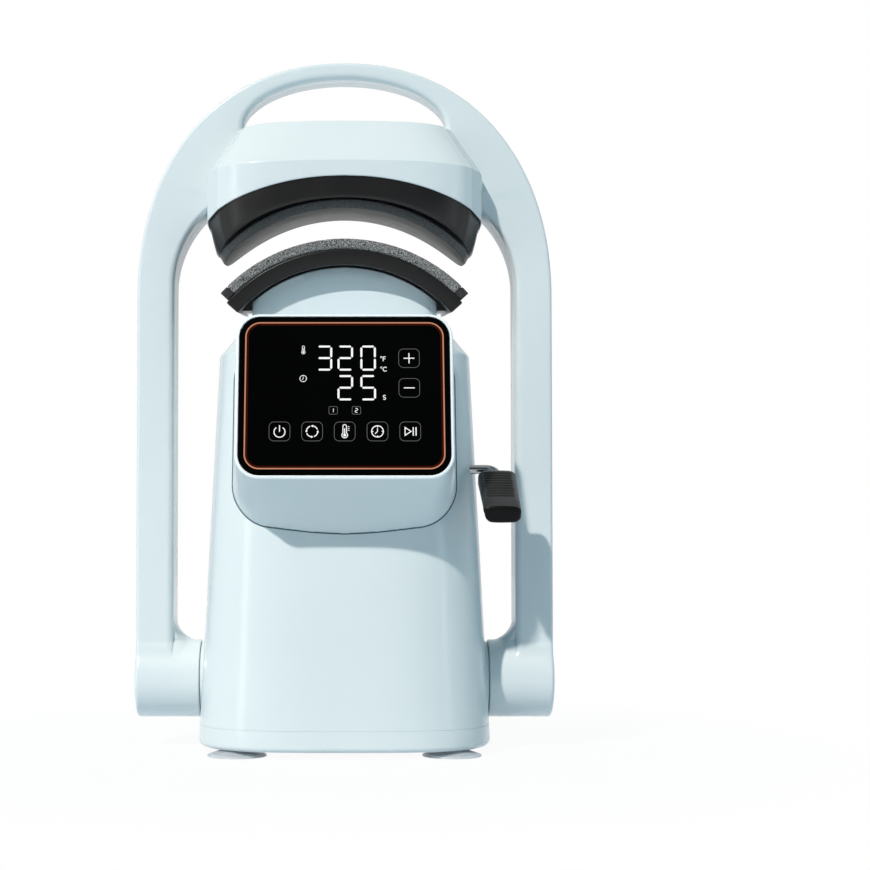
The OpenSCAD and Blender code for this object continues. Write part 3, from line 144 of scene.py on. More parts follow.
# Marks on the glass, placed by pixels of the photograph, with the millimetres of a pixel
GLASS_MIDDLE, PX, PY = (344.5, 395.5), 0.566, 0.592
KEY_ROW, KEY_COLUMNS = 432, (279.7, 312.2, 344.7, 377.4, 410)
MORE_KEY, LESS_KEY = (409.5, 358.4), (409.5, 388.4)
KEYS = [(column, KEY_ROW) for column in KEY_COLUMNS] + [MORE_KEY, LESS_KEY]
KEY_HALF, KEY_ROUND, KEY_LINE, KEY_SQUASH = 5.9, 2.8, 0.24, 0.95
PRESETS = (("1", (333.2, 411), 1.2), ("2", (356.4, 411), 0.65))   # digit, place, way to the digit's middle
PRESET_HALF, PRESET_ROUND, PRESET_W, PRESET_H = 2.4, 0.9, 1.3, 2.3
HEAT_SIGN, TIME_SIGN, HEAT_SIZE, TIME_SIZE = (303, 350), (303, 379), 0.62, 1.9
FAHRENHEIT, CELSIUS, SECONDS = (381.5, 359), (381.5, 369.5), (384.5, 398)
DIGIT_COLUMNS, HEAT_ROW, TIME_ROW = (317.5, 338.5, 361.5), 370, 400
DIGIT_W, DIGIT_H, DIGIT_LINE, DIGIT_GAP = 13.6 * PX, 23.5 * PY, 1.15, 0.36
ICON_LINE, UNIT_LINE, PLUS_HALF = 0.56, 0.42, 3.1
MARK_Z, FRAME_Z, GLOW_Z = 0.06, 0.05, 0.03
COPPER_INSET, COPPER_LINE, GLOW_INSET, GLOW_LINE = 3.6, 0.75, 4.3, 1.9

# Lever and rocker
ROD_R, ROD_INNER, ROD_STRAIGHT, ROD_TIP, ELBOW_R = 2.75, -61, 40, 38, 6.0
GRIP_X, LEVER_DROP = 90.2, radians(33)
LEVER = Matrix.Translation((GRIP_X, LEVER_Y, LEVER_Z)) @ Matrix.Rotation(pi / 2 + LEVER_DROP, 4, "X")
GRIP_W, GRIP_T, GRIP_ROUND, GRIP_START, GRIP_LEN = 22.6, 12.0, 3.8, 9.0, 43.0
GRIP_NOSE, GRIP_TAIL, NOSE_SHARE, GRIP_CROWN, GRIP_DRAFT, GRIP_PILLOW = 3.6, 2.6, 0.6, 0.5, 2.9, 2.4
GRIP_STOP = GRIP_START + GRIP_LEN
RIB_COUNT, RIB_DEPTH, RIB_POWER, RIB_MARGIN, RIB_FADE = 10, 1.8, 1.5, 2.6, 1.4
RIB_START, RIB_END = 4.0, 11.0
ROCKER_LEAN, ROCKER_FACE, ROCKER_MARK, ROCKER_SKIN = radians(10), 3.5, 3.6, 0.03
ROCKER = Matrix.Translation(joint_place("power_rocker")) @ Matrix.Rotation(-ROCKER_LEAN, 4, "X")


def spow(value, power):
    return copysign(abs(value) ** power, value)


def lerp(a, b, t):
    return a + (b - a) * t


def clamp(t):
    return min(max(t, 0.0), 1.0)


def smooth(t):
    t = clamp(t)
    return t * t * (3 - 2 * t)


def steps(a, b, count):
    return [lerp(a, b, i / count) for i in range(count + 1)]


def quarter(count):
    return steps(0, pi / 2, count)


def bend(radius, count):
    """Ways along and across a rounded edge, from its start to its end."""
    return [(radius * (1 - cos(a)), radius * (1 - sin(a))) for a in quarter(count)]


def round_in(t):
    """Share of a rounded edge that is still missing at a way t into it."""
    return 1 - sqrt(1 - (1 - clamp(t)) ** 2)


def soft_max(a, b, k):
    """The greater of two values with the change between them smoothed over k."""
    h = max(k - abs(a - b), 0.0) / k
    return max(a, b) + h * h * k / 4


# Outlines and profiles

def resample(points, count):
    """A closed outline with its points an even way apart."""
    loop = points + points[:1]
    lengths = [0.0]
    for a, b in zip(loop, loop[1:]):
        lengths.append(lengths[-1] + dist(a, b))
    result, k = [], 0
    for i in range(count):
        at = lengths[-1] * i / count
        while lengths[k + 1] < at:
            k += 1
        t = (at - lengths[k]) / (lengths[k + 1] - lengths[k])
        result.append(tuple(lerp(p, q, t) for p, q in zip(loop[k], loop[k + 1])))
    return result


def superpoint(half_w, half_d, power, turn):
    """Point of a superellipse."""
    return half_w * spow(cos(turn), 2 / power), half_d * spow(sin(turn), 2 / power)


def outline(half_w, half_d, power, count=240, fine=1440):
    """Superellipse in the level plane, anticlockwise from +X."""
    turns = [2 * pi * i / fine for i in range(fine)]
    return resample([superpoint(half_w, half_d, power, turn) for turn in turns], count)


def rounded(points, radii, closed=False, arc_steps=8):
    """A polyline whose corners are rounded by arcs."""
    result = []
    count = len(points)
    for i, (p, radius) in enumerate(zip(points, radii)):
        if radius <= 0 or (not closed and i in (0, count - 1)):
            result.append(tuple(p))
            continue
        p = Vector(p)
        to_last, to_next = Vector(points[i - 1]) - p, Vector(points[(i + 1) % count]) - p
        half = to_last.angle(to_next) / 2
        reach = min(radius / tan(half), 0.49 * to_last.length, 0.49 * to_next.length)
        radius = reach * tan(half)
        start, end = p + to_last.normalized() * reach, p + to_next.normalized() * reach
        middle = p + (to_last.normalized() + to_next.normalized()).normalized() * (radius / sin(half))
        a0 = atan2(start.y - middle.y, start.x - middle.x)
        turn = (atan2(end.y - middle.y, end.x - middle.x) - a0 + pi) % (2 * pi) - pi
        result += [
            (middle.x + radius * cos(a0 + turn * t), middle.y + radius * sin(a0 + turn * t))
            for t in steps(0, 1, arc_steps)
        ]
    return result


def round_rect(half_w, low, high, radius, arc_steps):
    corners = [(half_w, low), (half_w, high), (-half_w, high), (-half_w, low)]
    return rounded(corners, [radius] * 4, closed=True, arc_steps=arc_steps)


def circle(middle, across, up, radius, count):
    """Ring of points about a middle in the plane of two directions."""
    turns = steps(0, 2 * pi, count)[:-1]
    return [tuple(middle + radius * (cos(a) * across + sin(a) * up)) for a in turns]


# Meshes

def loft(rings, loop=False, caps=(True, True)):
    """Points and faces of a skin through closed rings of equal length."""
    n, m = len(rings[0]), len(rings)
    points = [p for ring in rings for p in ring]
    faces = []
    for i in range(m if loop else m - 1):
        a, b = i * n, (i + 1) % m * n
        faces += [(a + j, a + (j + 1) % n, b + (j + 1) % n, b + j) for j in range(n)]
    if not loop and caps[0]:
        faces.append(tuple(reversed(range(n))))
    if not loop and caps[1]:
        faces.append(tuple(range((m - 1) * n, m * n)))
    return points, faces


def joined(*parts):
    points, faces = [], []
    for part_points, part_faces in parts:
        base = len(points)
        points += part_points
        faces += [tuple(base + i for i in face) for face in part_faces]
    return points, faces


def mirrored(part):
    points, faces = part
    return [(-x, y, z) for x, y, z in points], [tuple(reversed(face)) for face in faces]


def moved(part, matrix):
    points, faces = part
    return [tuple(matrix @ Vector(p)) for p in points], faces


def lathe(profile, count=96, loop=False):
    """Turned part about Z from (radius, height) points, or a ring from a closed loop of them."""
    turns = steps(0, 2 * pi, count)[:-1]
    return loft([[(r * cos(a), r * sin(a), z) for a in turns] for r, z in profile], loop=loop)


def tube(path, radius, count):
    """Round bar along a path in a plane that holds the X axis."""
    across = (path[1] - path[0]).cross(path[-1] - path[-2]).normalized()
    rings = []
    for i, p in enumerate(path):
        along = (path[min(i + 1, len(path) - 1)] - path[max(i - 1, 0)]).normalized()
        rings.append(circle(p, across, along.cross(across), radius, count))
    return loft(rings)


def block(low, high):
    (x0, y0, z0), (x1, y1, z1) = low, high
    ring = [(x0, y0), (x1, y0), (x1, y1), (x0, y1)]
    return loft([[(x, y, z) for x, y in ring] for z in (z0, z1)])


def halve(shape, y, front):
    """Leaves what is in front of or behind an upright plane across the press."""
    bmesh.ops.bisect_plane(
        shape, geom=[*shape.verts, *shape.edges, *shape.faces], plane_co=(0, (y + PIVOT_Y) * MM, 0),
        plane_no=(0, 1, 0), clear_outer=front, clear_inner=not front,
    )


def piece(name, part, material, body, slot, stands_for=(), sharp=SHARP, half=None):
    """A named object in the CAD frame that rides on a body and may stand for CAD nodes."""
    points, faces = part
    mesh = bpy.data.meshes.new(name)
    mesh.from_pydata([Vector((x, y + PIVOT_Y, z)) * MM for x, y, z in points], [], faces)
    shape = bmesh.new()
    shape.from_mesh(mesh)
    bmesh.ops.remove_doubles(shape, verts=shape.verts, dist=WELD * MM)
    bmesh.ops.recalc_face_normals(shape, faces=shape.faces)
    if half:
        halve(shape, *half)
    shape.to_mesh(mesh)
    shape.free()
    mesh.shade_smooth()
    mesh.set_sharp_from_angle(angle=radians(sharp))
    obj = bpy.data.objects.new(name, mesh)
    scene.collection.objects.link(obj)
    mesh.materials.append(material)
    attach(obj, body)
    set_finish(obj, slot)
    if stands_for:
        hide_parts(*stands_for)
    return obj


def thicken(obj, wall):
    shell = obj.modifiers.new("wall", "SOLIDIFY")
    shell.thickness = wall * MM
    shell.offset = -1
    shell.use_even_offset = True


def soften(obj, radius):
    """Small rounded edges on a CAD node or a hard-edged piece."""
    bevel = obj.modifiers.new("edges", "BEVEL")
    bevel.width = radius * MM
    bevel.segments = 3
    bevel.limit_method = "ANGLE"
    bevel.angle_limit = radians(40)
    bevel.harden_normals = False


def cut(obj, cutter_part):
    """Cuts a shape out of a piece for good."""
    cutter = piece("cutter", cutter_part, obj.data.materials[0], obj["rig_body"], obj["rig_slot"])
    boolean = obj.modifiers.new("cut", "BOOLEAN")
    boolean.object = cutter
    boolean.solver = "EXACT"
    bpy.context.view_layer.update()
    result = bpy.data.meshes.new_from_object(obj.evaluated_get(bpy.context.evaluated_depsgraph_get()))
    obj.modifiers.remove(boolean)
    obj.data = result
    result.shade_smooth()
    result.set_sharp_from_angle(angle=radians(SHARP))
    bpy.data.objects.remove(cutter)


# Materials

def feed(tree, node, inputs):
    """Links the inputs of a shader node to sockets, or sets them to plain values."""
    for key, value in inputs.items():
        if isinstance(value, bpy.types.NodeSocket):
            tree.links.new(value, node.inputs[key])
        else:
            node.inputs[key].default_value = value


def add(tree, kind, inputs=None, **settings):
    """A new shader node with its settings and inputs."""
    node = tree.nodes.new("ShaderNode" + kind)
    for key, value in settings.items():
        setattr(node, key, value)
    feed(tree, node, inputs or {})
    return node


def remap(tree, source, start, end, low, high, kind="LINEAR"):
    """Socket that turns one range of a value into another."""
    inputs = {"Value": source, "From Min": start, "From Max": end, "To Min": low, "To Max": high}
    return add(tree, "MapRange", inputs, interpolation_type=kind).outputs["Result"]


def color_mix(tree, first, second, share):
    """Socket of a colour between two, by the share of the second."""
    inputs = {"A": [*first, 1], "B": [*second, 1], "Factor": share}
    return add(tree, "Mix", inputs, data_type="RGBA").outputs["Result"]


def surface(name, color, rough, metallic=0.0, tint=0.03, tint_scale=18.0, rough_swing=0.05,
            bump=0.04, bump_scale=700.0, bump_mm=0.1, coat=0.0, specular=0.5,
            dark=None, grain=None, stretch=None, glow=None):
    """Material whose colour, gloss and fine relief all vary a little over the surface."""
    mat = bpy.data.materials.new(name)
    mat.use_nodes = True
    tree = mat.node_tree
    shader = tree.nodes["Principled BSDF"]
    place = add(tree, "TexCoord").outputs["Object"]
    if stretch:
        place = add(tree, "Mapping", {"Scale": stretch, "Vector": place}).outputs["Vector"]

    def noise_map(scale, detail, low=0, high=1, span=(0.2, 0.8)):
        texture = add(tree, "TexNoise", {"Scale": scale, "Detail": detail, "Vector": place})
        return remap(tree, texture.outputs["Fac"], *span, low, high)

    if grain:
        share = noise_map(bump_scale, 2, span=grain)
    else:
        share = noise_map(tint_scale, 3)
        dark, color = [c * (1 - tint) for c in color], [min(c * (1 + tint), 1) for c in color]
    gloss = noise_map(tint_scale * 3, 4, rough - rough_swing, rough + rough_swing)
    relief = {"Strength": bump, "Distance": bump_mm * MM, "Height": noise_map(bump_scale, 5)}
    feed(tree, shader, {
        "Base Color": color_mix(tree, dark, color, share), "Roughness": gloss, "Metallic": metallic,
        "Coat Weight": coat, "Coat Roughness": 0.06, "Specular IOR Level": specular,
        "Normal": add(tree, "Bump", relief).outputs["Normal"],
    })
    if glow:
        lit = color_mix(tree, [c * 0.9 for c in glow], glow, share)
        feed(tree, shader, {"Emission Color": lit, "Emission Strength": 1.0})
    return mat


def painted(name, color, tint=0.012):
    """Smooth light paint of the mouldings; the pedestal's and the rim's lighter copies of it hold painted
    light.
    """
    return surface(
        name, color, 0.22, tint=tint, rough_swing=0.02, bump=0.02, bump_scale=420, coat=0.2, specular=0.4,
    )


def speckled(name, dark, light, rough, scale, bump, bump_mm, grain=(0.42, 0.6)):
    """Small light and dark grains, as of foam or a stone-like coating."""
    return surface(
        name, light, rough, bump=bump, bump_scale=scale, bump_mm=bump_mm, specular=0.3, dark=dark,
        grain=grain,
    )


def brushed(name, color, stretch):
    """Metal with fine lines along one axis."""
    return surface(
        name, color, 0.36, metallic=1.0, tint=0.05, tint_scale=60, bump=0.12, bump_scale=900, bump_mm=0.02,
        stretch=stretch,
    )


def glowing(name, color):
    """Lit mark on the panel with a slightly uneven glow."""
    unlit = [c * 0.05 for c in color]
    return surface(name, unlit, 0.5, tint=0.1, tint_scale=400, specular=0.0, glow=color)


BLACK = (0.008, 0.008, 0.0088)
SHELL = painted("shell_blue", (0.682, 0.746, 0.769))
# Lighter, bluer copy of the shell paint: painted light that brightens the pedestal in the carrier's shadow
PEDESTAL = painted("pedestal_blue_painted_light", (0.74, 0.835, 0.88))
# The rim's near-white paint is a painted highlight of the housing's rounded edge
RIM = painted("rim_painted_highlight", (0.86, 0.90, 0.92), tint=0.01)
TRIM = surface(
    "trim_black", BLACK, 0.35, tint=0.15, rough_swing=0.04, bump=0.06, bump_scale=1500, bump_mm=0.05,
    specular=0.36,
)
SATIN = surface(
    "carrier_black", BLACK, 0.36, tint=0.2, bump=0.08, bump_scale=1300, bump_mm=0.06, specular=0.34,
)
PLATEN = speckled("platen_grey", (0.04, 0.041, 0.042), (0.11, 0.112, 0.115), 0.42, 2300, 0.12, 0.05)
FOAM = speckled("foam_grey", (0.04, 0.04, 0.041), (0.36, 0.36, 0.36), 0.9, 1800, 0.5, 0.25, (0.43, 0.59))
FOAM_END = speckled("foam_end", (0.02, 0.02, 0.021), (0.045, 0.045, 0.047), 0.8, 1300, 0.4, 0.2)
RUBBER = surface(
    "grip_black", (0.024, 0.0248, 0.0256), 0.34, tint=0.2, bump=0.06, bump_scale=1400, bump_mm=0.05,
    specular=0.32,
)
# The smooth end is a real change of surface, but its base darker than the ribbed grip is painted shade of
# the downturned end face
GRIP_END = surface(
    "grip_end_black_shaded", (0.005, 0.005, 0.0055), 0.34, tint=0.2, bump=0.04, bump_scale=1400, bump_mm=0.04,
    specular=0.1,
)
# Blue-grey of the ribbon along the housing's joint with the body: painted shade of the joint
JOIN_SHADE = surface(
    "join_shade_blue_grey", (0.085, 0.135, 0.17), 0.6, tint=0.1, bump=0.1, bump_scale=900, specular=0.2,
)
GLASS = surface(
    "panel_black", (0.0012, 0.0013, 0.0014), 0.06, tint=0.3, rough_swing=0.02, bump=0.005, bump_scale=60,
    specular=0.02,
)
CHROME = surface(
    "lever_chrome", (0.34, 0.37, 0.39), 0.1, metallic=1.0, tint=0.04, rough_swing=0.03, bump=0.01,
    bump_scale=200,
)
STEEL = brushed("steel", (0.6, 0.61, 0.63), (1, 12, 1))
BRACKET = brushed("bracket_steel", (0.62, 0.63, 0.64), (12, 1, 1))
BRASS = brushed("bush_brass", (0.74, 0.55, 0.25), (12, 1, 1))
SILICONE = surface("silicone_grey", (0.62, 0.66, 0.70), 0.36, tint=0.06, bump=0.04, bump_scale=500)
clear = {"Transmission Weight": 0.35, "IOR": 1.41}
feed(SILICONE.node_tree, SILICONE.node_tree.nodes["Principled BSDF"], clear)
BOARD = surface("board_green", (0.03, 0.2, 0.09), 0.4, tint=0.2, tint_scale=200)
HEATER = surface("heater_rubber", (0.6, 0.2, 0.06), 0.7, tint=0.1, tint_scale=120, bump=0.3)
WOOL = surface(
    "insulation_white", (0.8, 0.79, 0.75), 0.95, tint=0.1, tint_scale=300, bump=0.8, bump_scale=500,
    bump_mm=0.4,
)
WHITE_MARK = glowing("panel_white", (1.0, 1.0, 1.0))
GREY_MARK = glowing("panel_frame_grey", (0.16, 0.16, 0.17))
COPPER_MARK = glowing("panel_copper", (0.60, 0.25, 0.15))
RED_GLOW = glowing("panel_red_glow", (0.035, 0.006, 0.003))
PAINT_MARK = surface("switch_white", (0.8, 0.8, 0.8), 0.5, tint=0.05)

# CAD nodes that stay as they are get their finish here
for material, names in {
    BOARD: ["display_board", "control_board"],
    STEEL: ["chassis_frame", "pivot_axle", "axle_clips", "stop_pins", "base_screws", "arch_core",
            "arch_screws", "platen_hanger", "platen_standoffs", "lift_plate", "guide_posts",
            "cam_follower", "lift_cam", "shaft_collars"],
    BRASS: ["camshaft_bushes", "guide_bushes", "pivot_bush_left", "pivot_bush_right"],
    HEATER: ["heating_element"],
    WOOL: ["insulation_pad"],
    TRIM: ["thermal_cutout", "rear_panel", "power_inlet", "switch_frame", "power_rocker"],
}.items():
    for name in names:
        nodes[name].data.materials.clear()
        nodes[name].data.materials.append(material)
for name in ("rear_panel", "power_inlet", "switch_frame", "power_rocker"):
    soften(nodes[name], 0.3)


# Arch: one moulded hoop whose legs run down into the pivot barrels

def arch_outer(turn):
    x, rise = superpoint(ARCH_W, ARCH_TOP - ARCH_SPRING, ARCH_POWER, radians(turn))
    return x, ARCH_SPRING + rise


def arch_pairs():
    """Pairs of outer and inner points from the right foot to the top."""
    turn_a, turn_b, turn_c = 24.0, 26.0, 47.0
    shelf = OPENING_Z + OPENING_R * sin(radians(OPENING_TURN))
    pairs = [((ARCH_W, z), (LEG_IN, z)) for z in steps(PIVOT_Z + HOOP_START, ARCH_SPRING, 20)[:-1]]
    for t in steps(0, 1, 40):
        a = radians(OPENING_TURN * t)
        corner = (LEG_IN - OPENING_R + OPENING_R * cos(a), OPENING_Z + OPENING_R * sin(a))
        pairs.append((arch_outer(turn_a * t), corner))
    for t in steps(0, 1, 12):
        pairs.append((arch_outer(lerp(turn_b, turn_c, t)), (HANDLE_W, lerp(shelf, HANDLE_Z, t))))
    for t in steps(0, 1, 48)[1:-1]:
        a = radians(90 * t)
        inner = (HANDLE_W * cos(a), HANDLE_Z + HANDLE_RISE * sin(a))
        pairs.append((arch_outer(lerp(turn_c, 90, t)), inner))
    return pairs + [((0.0, ARCH_TOP), (0.0, HANDLE_Z + HANDLE_RISE))]


def arch_section(width, slope):
    """Section of the hoop: soft inner edges, crisper outer edges and a fine parting groove."""
    d, groove, depth = ARCH_HALF_D, PARTING_W, PARTING_DEPTH
    middle = width - slope / 2
    outer = [(0, groove), (depth, 0), (0, -groove)]
    inner = [(middle, -groove), (middle - depth, 0), (middle, groove)]
    corners = [(0, -d), (width, -d), *inner, (width - slope, d), (0, d), *outer]
    radii = [OUTER_EDGE, INNER_EDGE, 0, 0, 0, INNER_EDGE, OUTER_EDGE, 0, 0, 0]
    return rounded(corners, radii, closed=True)


def arch_hoop():
    right = arch_pairs()
    pairs = right + [((-a[0], a[1]), (-b[0], b[1])) for a, b in reversed(right[:-1])]
    opening_top = OPENING_Z + OPENING_R
    rings = []
    for (ox, oz), (ix, iz) in pairs:
        width = dist((ox, oz), (ix, iz))
        ux, uz = (ix - ox) / width, (iz - oz) / width
        slope = HANDLE_SLOPE * smooth((iz - opening_top) / (HANDLE_Z - opening_top + SLOPE_LEAD))
        rings.append([(ox + ux * d, y, oz + uz * d) for d, y in arch_section(width, slope)])
    return loft(rings)


def barrel_section(x):
    """Half of the barrel's section at x, as half widths and heights from the foot to the crown."""
    sweep = min(max((x - LEG_IN + BARREL_FILLET) / BARREL_FILLET, 0), 1)
    end_round = OUTER_EDGE * round_in((BARREL_END - x) / OUTER_EDGE)
    radius = BARREL_R - BARREL_EDGE * round_in((x - BARREL_IN) / BARREL_EDGE) - end_round
    web_top = BARREL_R - WEB_SINK + BARREL_FILLET * (1 - sqrt(1 - sweep * sweep))
    if x >= LEG_IN:
        web_top = HOOP_START + HOOP_OVERLAP
    half = ARCH_HALF_D - WEB_SKIN - end_round - INNER_EDGE * round_in((x - LEG_IN) / INNER_EDGE)
    half -= WEB_WAIST * (1 - smooth(sweep))
    blend = TINY + WEB_BLEND * smooth(sweep)
    top = max(radius, web_top)
    heights = [-radius + (radius + WEB_MIDDLE) * (1 - cos(a)) for a in quarter(28)]
    heights += [WEB_MIDDLE + (top - WEB_MIDDLE) * sin(a) for a in quarter(34)[1:]]
    side = []
    for z in heights:
        drum = sqrt(max(radius * radius - z * z, 0))
        crown = 0.0 if x >= LEG_IN else max(z - (web_top - WEB_CROWN), 0) / WEB_CROWN
        web = half * sqrt(max(1 - crown * crown, 0)) * smooth((z - WEB_FOOT) / WEB_FADE)
        if z > web_top:
            web = 0.0
        within = WEB_FOOT < z < web_top - TINY
        side.append((soft_max(drum, web, blend) if within else max(drum, web), z))
    return side


def barrel():
    """Right pivot barrel: a drum whose skin runs up softly into the leg."""
    sweep_start = LEG_IN - BARREL_FILLET
    xs = [BARREL_IN + along for along, _ in bend(BARREL_EDGE, 5)]
    xs += steps(BARREL_IN + BARREL_EDGE + 0.5, sweep_start + 0.4, 3)
    xs += [sweep_start + BARREL_FILLET * sin(a) for a in steps(0.1, pi / 2, 24)[:-1]]
    xs += [LEG_IN + along for along, _ in bend(INNER_EDGE, 9)]
    xs += steps(LEG_IN + INNER_EDGE + 0.8, BARREL_END - OUTER_EDGE - 0.3, 6)
    xs += [BARREL_END - across for _, across in bend(OUTER_EDGE, 8)]
    rings = []
    for x in sorted(xs):
        side = barrel_section(x)
        front = [(x, -w, PIVOT_Z + z) for w, z in side]
        rings.append(front + [(x, -y, z) for x, y, z in reversed(front)])
    return loft(rings)


def on_axis(part, side, x):
    """A turned part set on the pivot axis, at x on the right (1) or left (-1)."""
    seat = Matrix.Translation((side * x, 0, PIVOT_Z)) @ Matrix.Rotation(side * pi / 2, 4, "Y")
    return moved(part, seat)


right_barrel = barrel()
piece(
    "arch_frame", joined(arch_hoop(), right_barrel, mirrored(right_barrel)), SHELL, "arch", "shell_blue",
    ("arch_front_shell", "arch_rear_shell", "pivot_barrel_left", "pivot_barrel_right"),
)
dome = [(0, -CAP_SINK), (CAP_R, -CAP_SINK), (CAP_R, CAP_STEP / 2)]
dome += [
    ((CAP_R - CAP_STEP) * cos(a), CAP_STEP + (CAP_H - CAP_STEP) * sin(a)) for a in quarter(24)
]
for side, name in ((1, "pivot_cap_right"), (-1, "pivot_cap_left")):
    piece(name + "_dome", on_axis(lathe(dome), side, ARCH_W), SHELL, "arch", "shell_blue", (name,))


# Head: bevelled hood in two halves, black shroud and heated platen

def border(x):
    return BORDER_Z - BORDER_R + sqrt(BORDER_R ** 2 - x * x)


def shroud_edge(x, y):
    """Lower edge of the shroud, which keeps an even way above the platen's curve."""
    rise = sqrt((PLATEN_R + SHROUD_LIFT) ** 2 - x * x) - PLATEN_R
    return PLATEN_AXIS + PLATEN_R + y * tan(TILT) + rise / cos(TILT)


def head_plan(half_w, half_d):
    """Plan of the head: bowed front, sides and back with flat facets at the corners."""
    def at(turn):
        return superpoint(half_w, half_d, HEAD_POWER, turn)

    turns = [acos(share ** (HEAD_POWER / 2)) for share in FACETS]
    knuckles = [at(turn) for turn in turns]
    corner = [at(turn) for turn in steps(0, turns[0], 16)[:-1]]
    for a, b in zip(knuckles, knuckles[1:]):
        corner += [(lerp(a[0], b[0], t), lerp(a[1], b[1], t)) for t in steps(0, 1, 5)[:-1]]
    corner += [at(turn) for turn in steps(turns[-1], pi / 2, 40)[:-1]] + [(0.0, half_d)]
    left = [(-x, y) for x, y in reversed(corner[:-1])]
    return corner + left + [(-x, -y) for x, y in corner[1:]] + [(x, -y) for x, y in reversed(corner[1:-1])]


def head_ring(inset, height):
    return [(x, y - FORWARD, height(x)) for x, y in head_plan(HEAD_W - inset, HEAD_D - inset)]


def hood():
    """Bevelled hood, whose edges fall a little towards its sides."""
    low, flat = HEAD_BEVEL_Z - HEAD_STRAIGHT, HEAD_BEVEL + HEAD_FLAT
    corners = [(0, low), (0, HEAD_BEVEL_Z), (HEAD_BEVEL, HEAD_TOP), (flat, HEAD_TOP)]
    profile = rounded(corners, [0, HEAD_EDGE, HEAD_EDGE, 0])

    def fallen(x, z):
        return z - HEAD_CROWN * (x / HEAD_W) ** 2

    def wall(x, t):
        return lerp(border(x) + HEAD_FOOT, fallen(x, low), t)

    rings = [head_ring(0.7, border), head_ring(0.2, lambda x: border(x) + 0.25)]
    rings += [head_ring(0, lambda x, t=t: wall(x, t)) for t in steps(0, 1, 4)[:-1]]
    rings += [head_ring(inset, lambda x, z=z: fallen(x, z)) for inset, z in profile]
    rings.append(head_ring(HEAD_BEVEL + HEAD_MIDDLE, lambda x: fallen(x, HEAD_TOP)))
    return loft(rings, caps=(False, True))


for name, front in (("head_front_cover", True), ("head_rear_cover", False)):
    half = (-FORWARD + (-HALVES_GAP if front else HALVES_GAP), front)
    cover = piece(name + "_skin", hood(), SHELL, "arch", "shell_blue", (name,), FACET_SHARP, half)
    thicken(cover, HEAD_WALL)


def shroud():
    """Black skirt between the hood's border and the platen, drawn in towards its foot."""
    def ring(inset, lift, share):
        points = []
        for x, y in head_plan(HEAD_W, HEAD_D):
            edge = shroud_edge(x * (HEAD_W - SHROUD_INSET - SHROUD_TAPER) / HEAD_W, y) + lift
            z = lerp(edge, border(x) + SHROUD_TUCK, share)
            side = inset + SHROUD_INSET + SHROUD_TAPER * max(0.0, (TAPER_Z - z) / TAPER_H) ** 2
            points.append((x * (HEAD_W - side) / HEAD_W, y * (HEAD_D - side) / HEAD_D - FORWARD, z))
        return points

    rings = [ring(1.0, 0, 0), ring(0.3, 0.3, 0)] + [ring(0, 1, t) for t in steps(0, 1, 10)]
    return loft(rings, caps=(False, False))


thicken(piece("head_shroud_skin", shroud(), TRIM, "arch", "trim_black", ("head_shroud",)), HEAD_WALL)


def platen_point(x, y, z, drop=0.0):
    """Point of the platens' own frame, whose Y axis is the axis of curvature."""
    z -= PLATEN_R
    return (
        x,
        y * cos(TILT) - z * sin(TILT) - FORWARD,
        y * sin(TILT) + z * cos(TILT) + PLATEN_AXIS + PLATEN_R - drop,
    )


def arc_bar(r_in, r_out, start, end, half_d, radius, drop=0.0, count=120, rough=0.0):
    """Curved bar about the platens' axis with rounded edges and ends."""
    section = round_rect(half_d, r_in, r_out, radius, 6)
    if rough:
        section = resample(section, 150)
    middle, half_t = (r_in + r_out) / 2, (r_out - r_in) / 2
    lead = degrees(radius / middle)
    opening = [(start + degrees(along / middle), inset) for along, inset in bend(radius, 6)]
    closing = [(start + end - a, inset) for a, inset in reversed(opening)]
    body = [(lerp(start + lead, end - lead, t), 0.0) for t in steps(0, 1, count)[1:-1]]
    rings = []
    for angle, inset in opening + body + closing:
        a = radians(angle)
        ring = []
        for y, r in section:
            y *= (half_d - inset) / half_d
            r = middle + (r - middle) * (half_t - inset) / half_t
            if rough:
                grain = noise.noise(Vector((y, r, a * middle)) * GRAIN_SCALE) * rough
                r += grain
                y += grain * GRAIN_SIDE
            ring.append(platen_point(r * sin(a), y, r * cos(a), drop))
        rings.append(ring)
    return loft(rings)


def platen_lip():
    """Curved plate with the head's plan, rounded along its edges."""
    half_arc = PLATEN_R * radians(LIP_ANGLE)

    def ring(radius, share, inset=0.0):
        draft = LIP_DRAFT * (radius - PLATEN_R) / LIP_T
        plan = outline((half_arc - draft) * share - inset, LIP_HALF_D * share - inset, HEAD_POWER, 320)
        return [
            platen_point(radius * sin(s / PLATEN_R), y, radius * cos(s / PLATEN_R)) for s, y in plan
        ]

    corner, low, high = bend(LIP_EDGE, 6), PLATEN_R, PLATEN_R + LIP_T
    rings = [ring(low, share) for share in steps(0.01, 0.97, 24)]
    rings += [ring(low + rise, 1, inset) for rise, inset in corner]
    rings += [ring(high - rise, 1, inset) for rise, inset in reversed(corner)]
    rings += [ring(high, share) for share in steps(0.97, 0.01, 24)]
    return loft(rings)


heart = arc_bar(
    PLATEN_R + LIP_T - BLOCK_SINK, PLATEN_R + BLOCK_T, -BLOCK_ANGLE, BLOCK_ANGLE, BLOCK_HALF_D, BLOCK_EDGE,
)
piece("heat_platen_cast", joined(platen_lip(), heart), PLATEN, "arch", "platen_grey", ("heat_platen",))

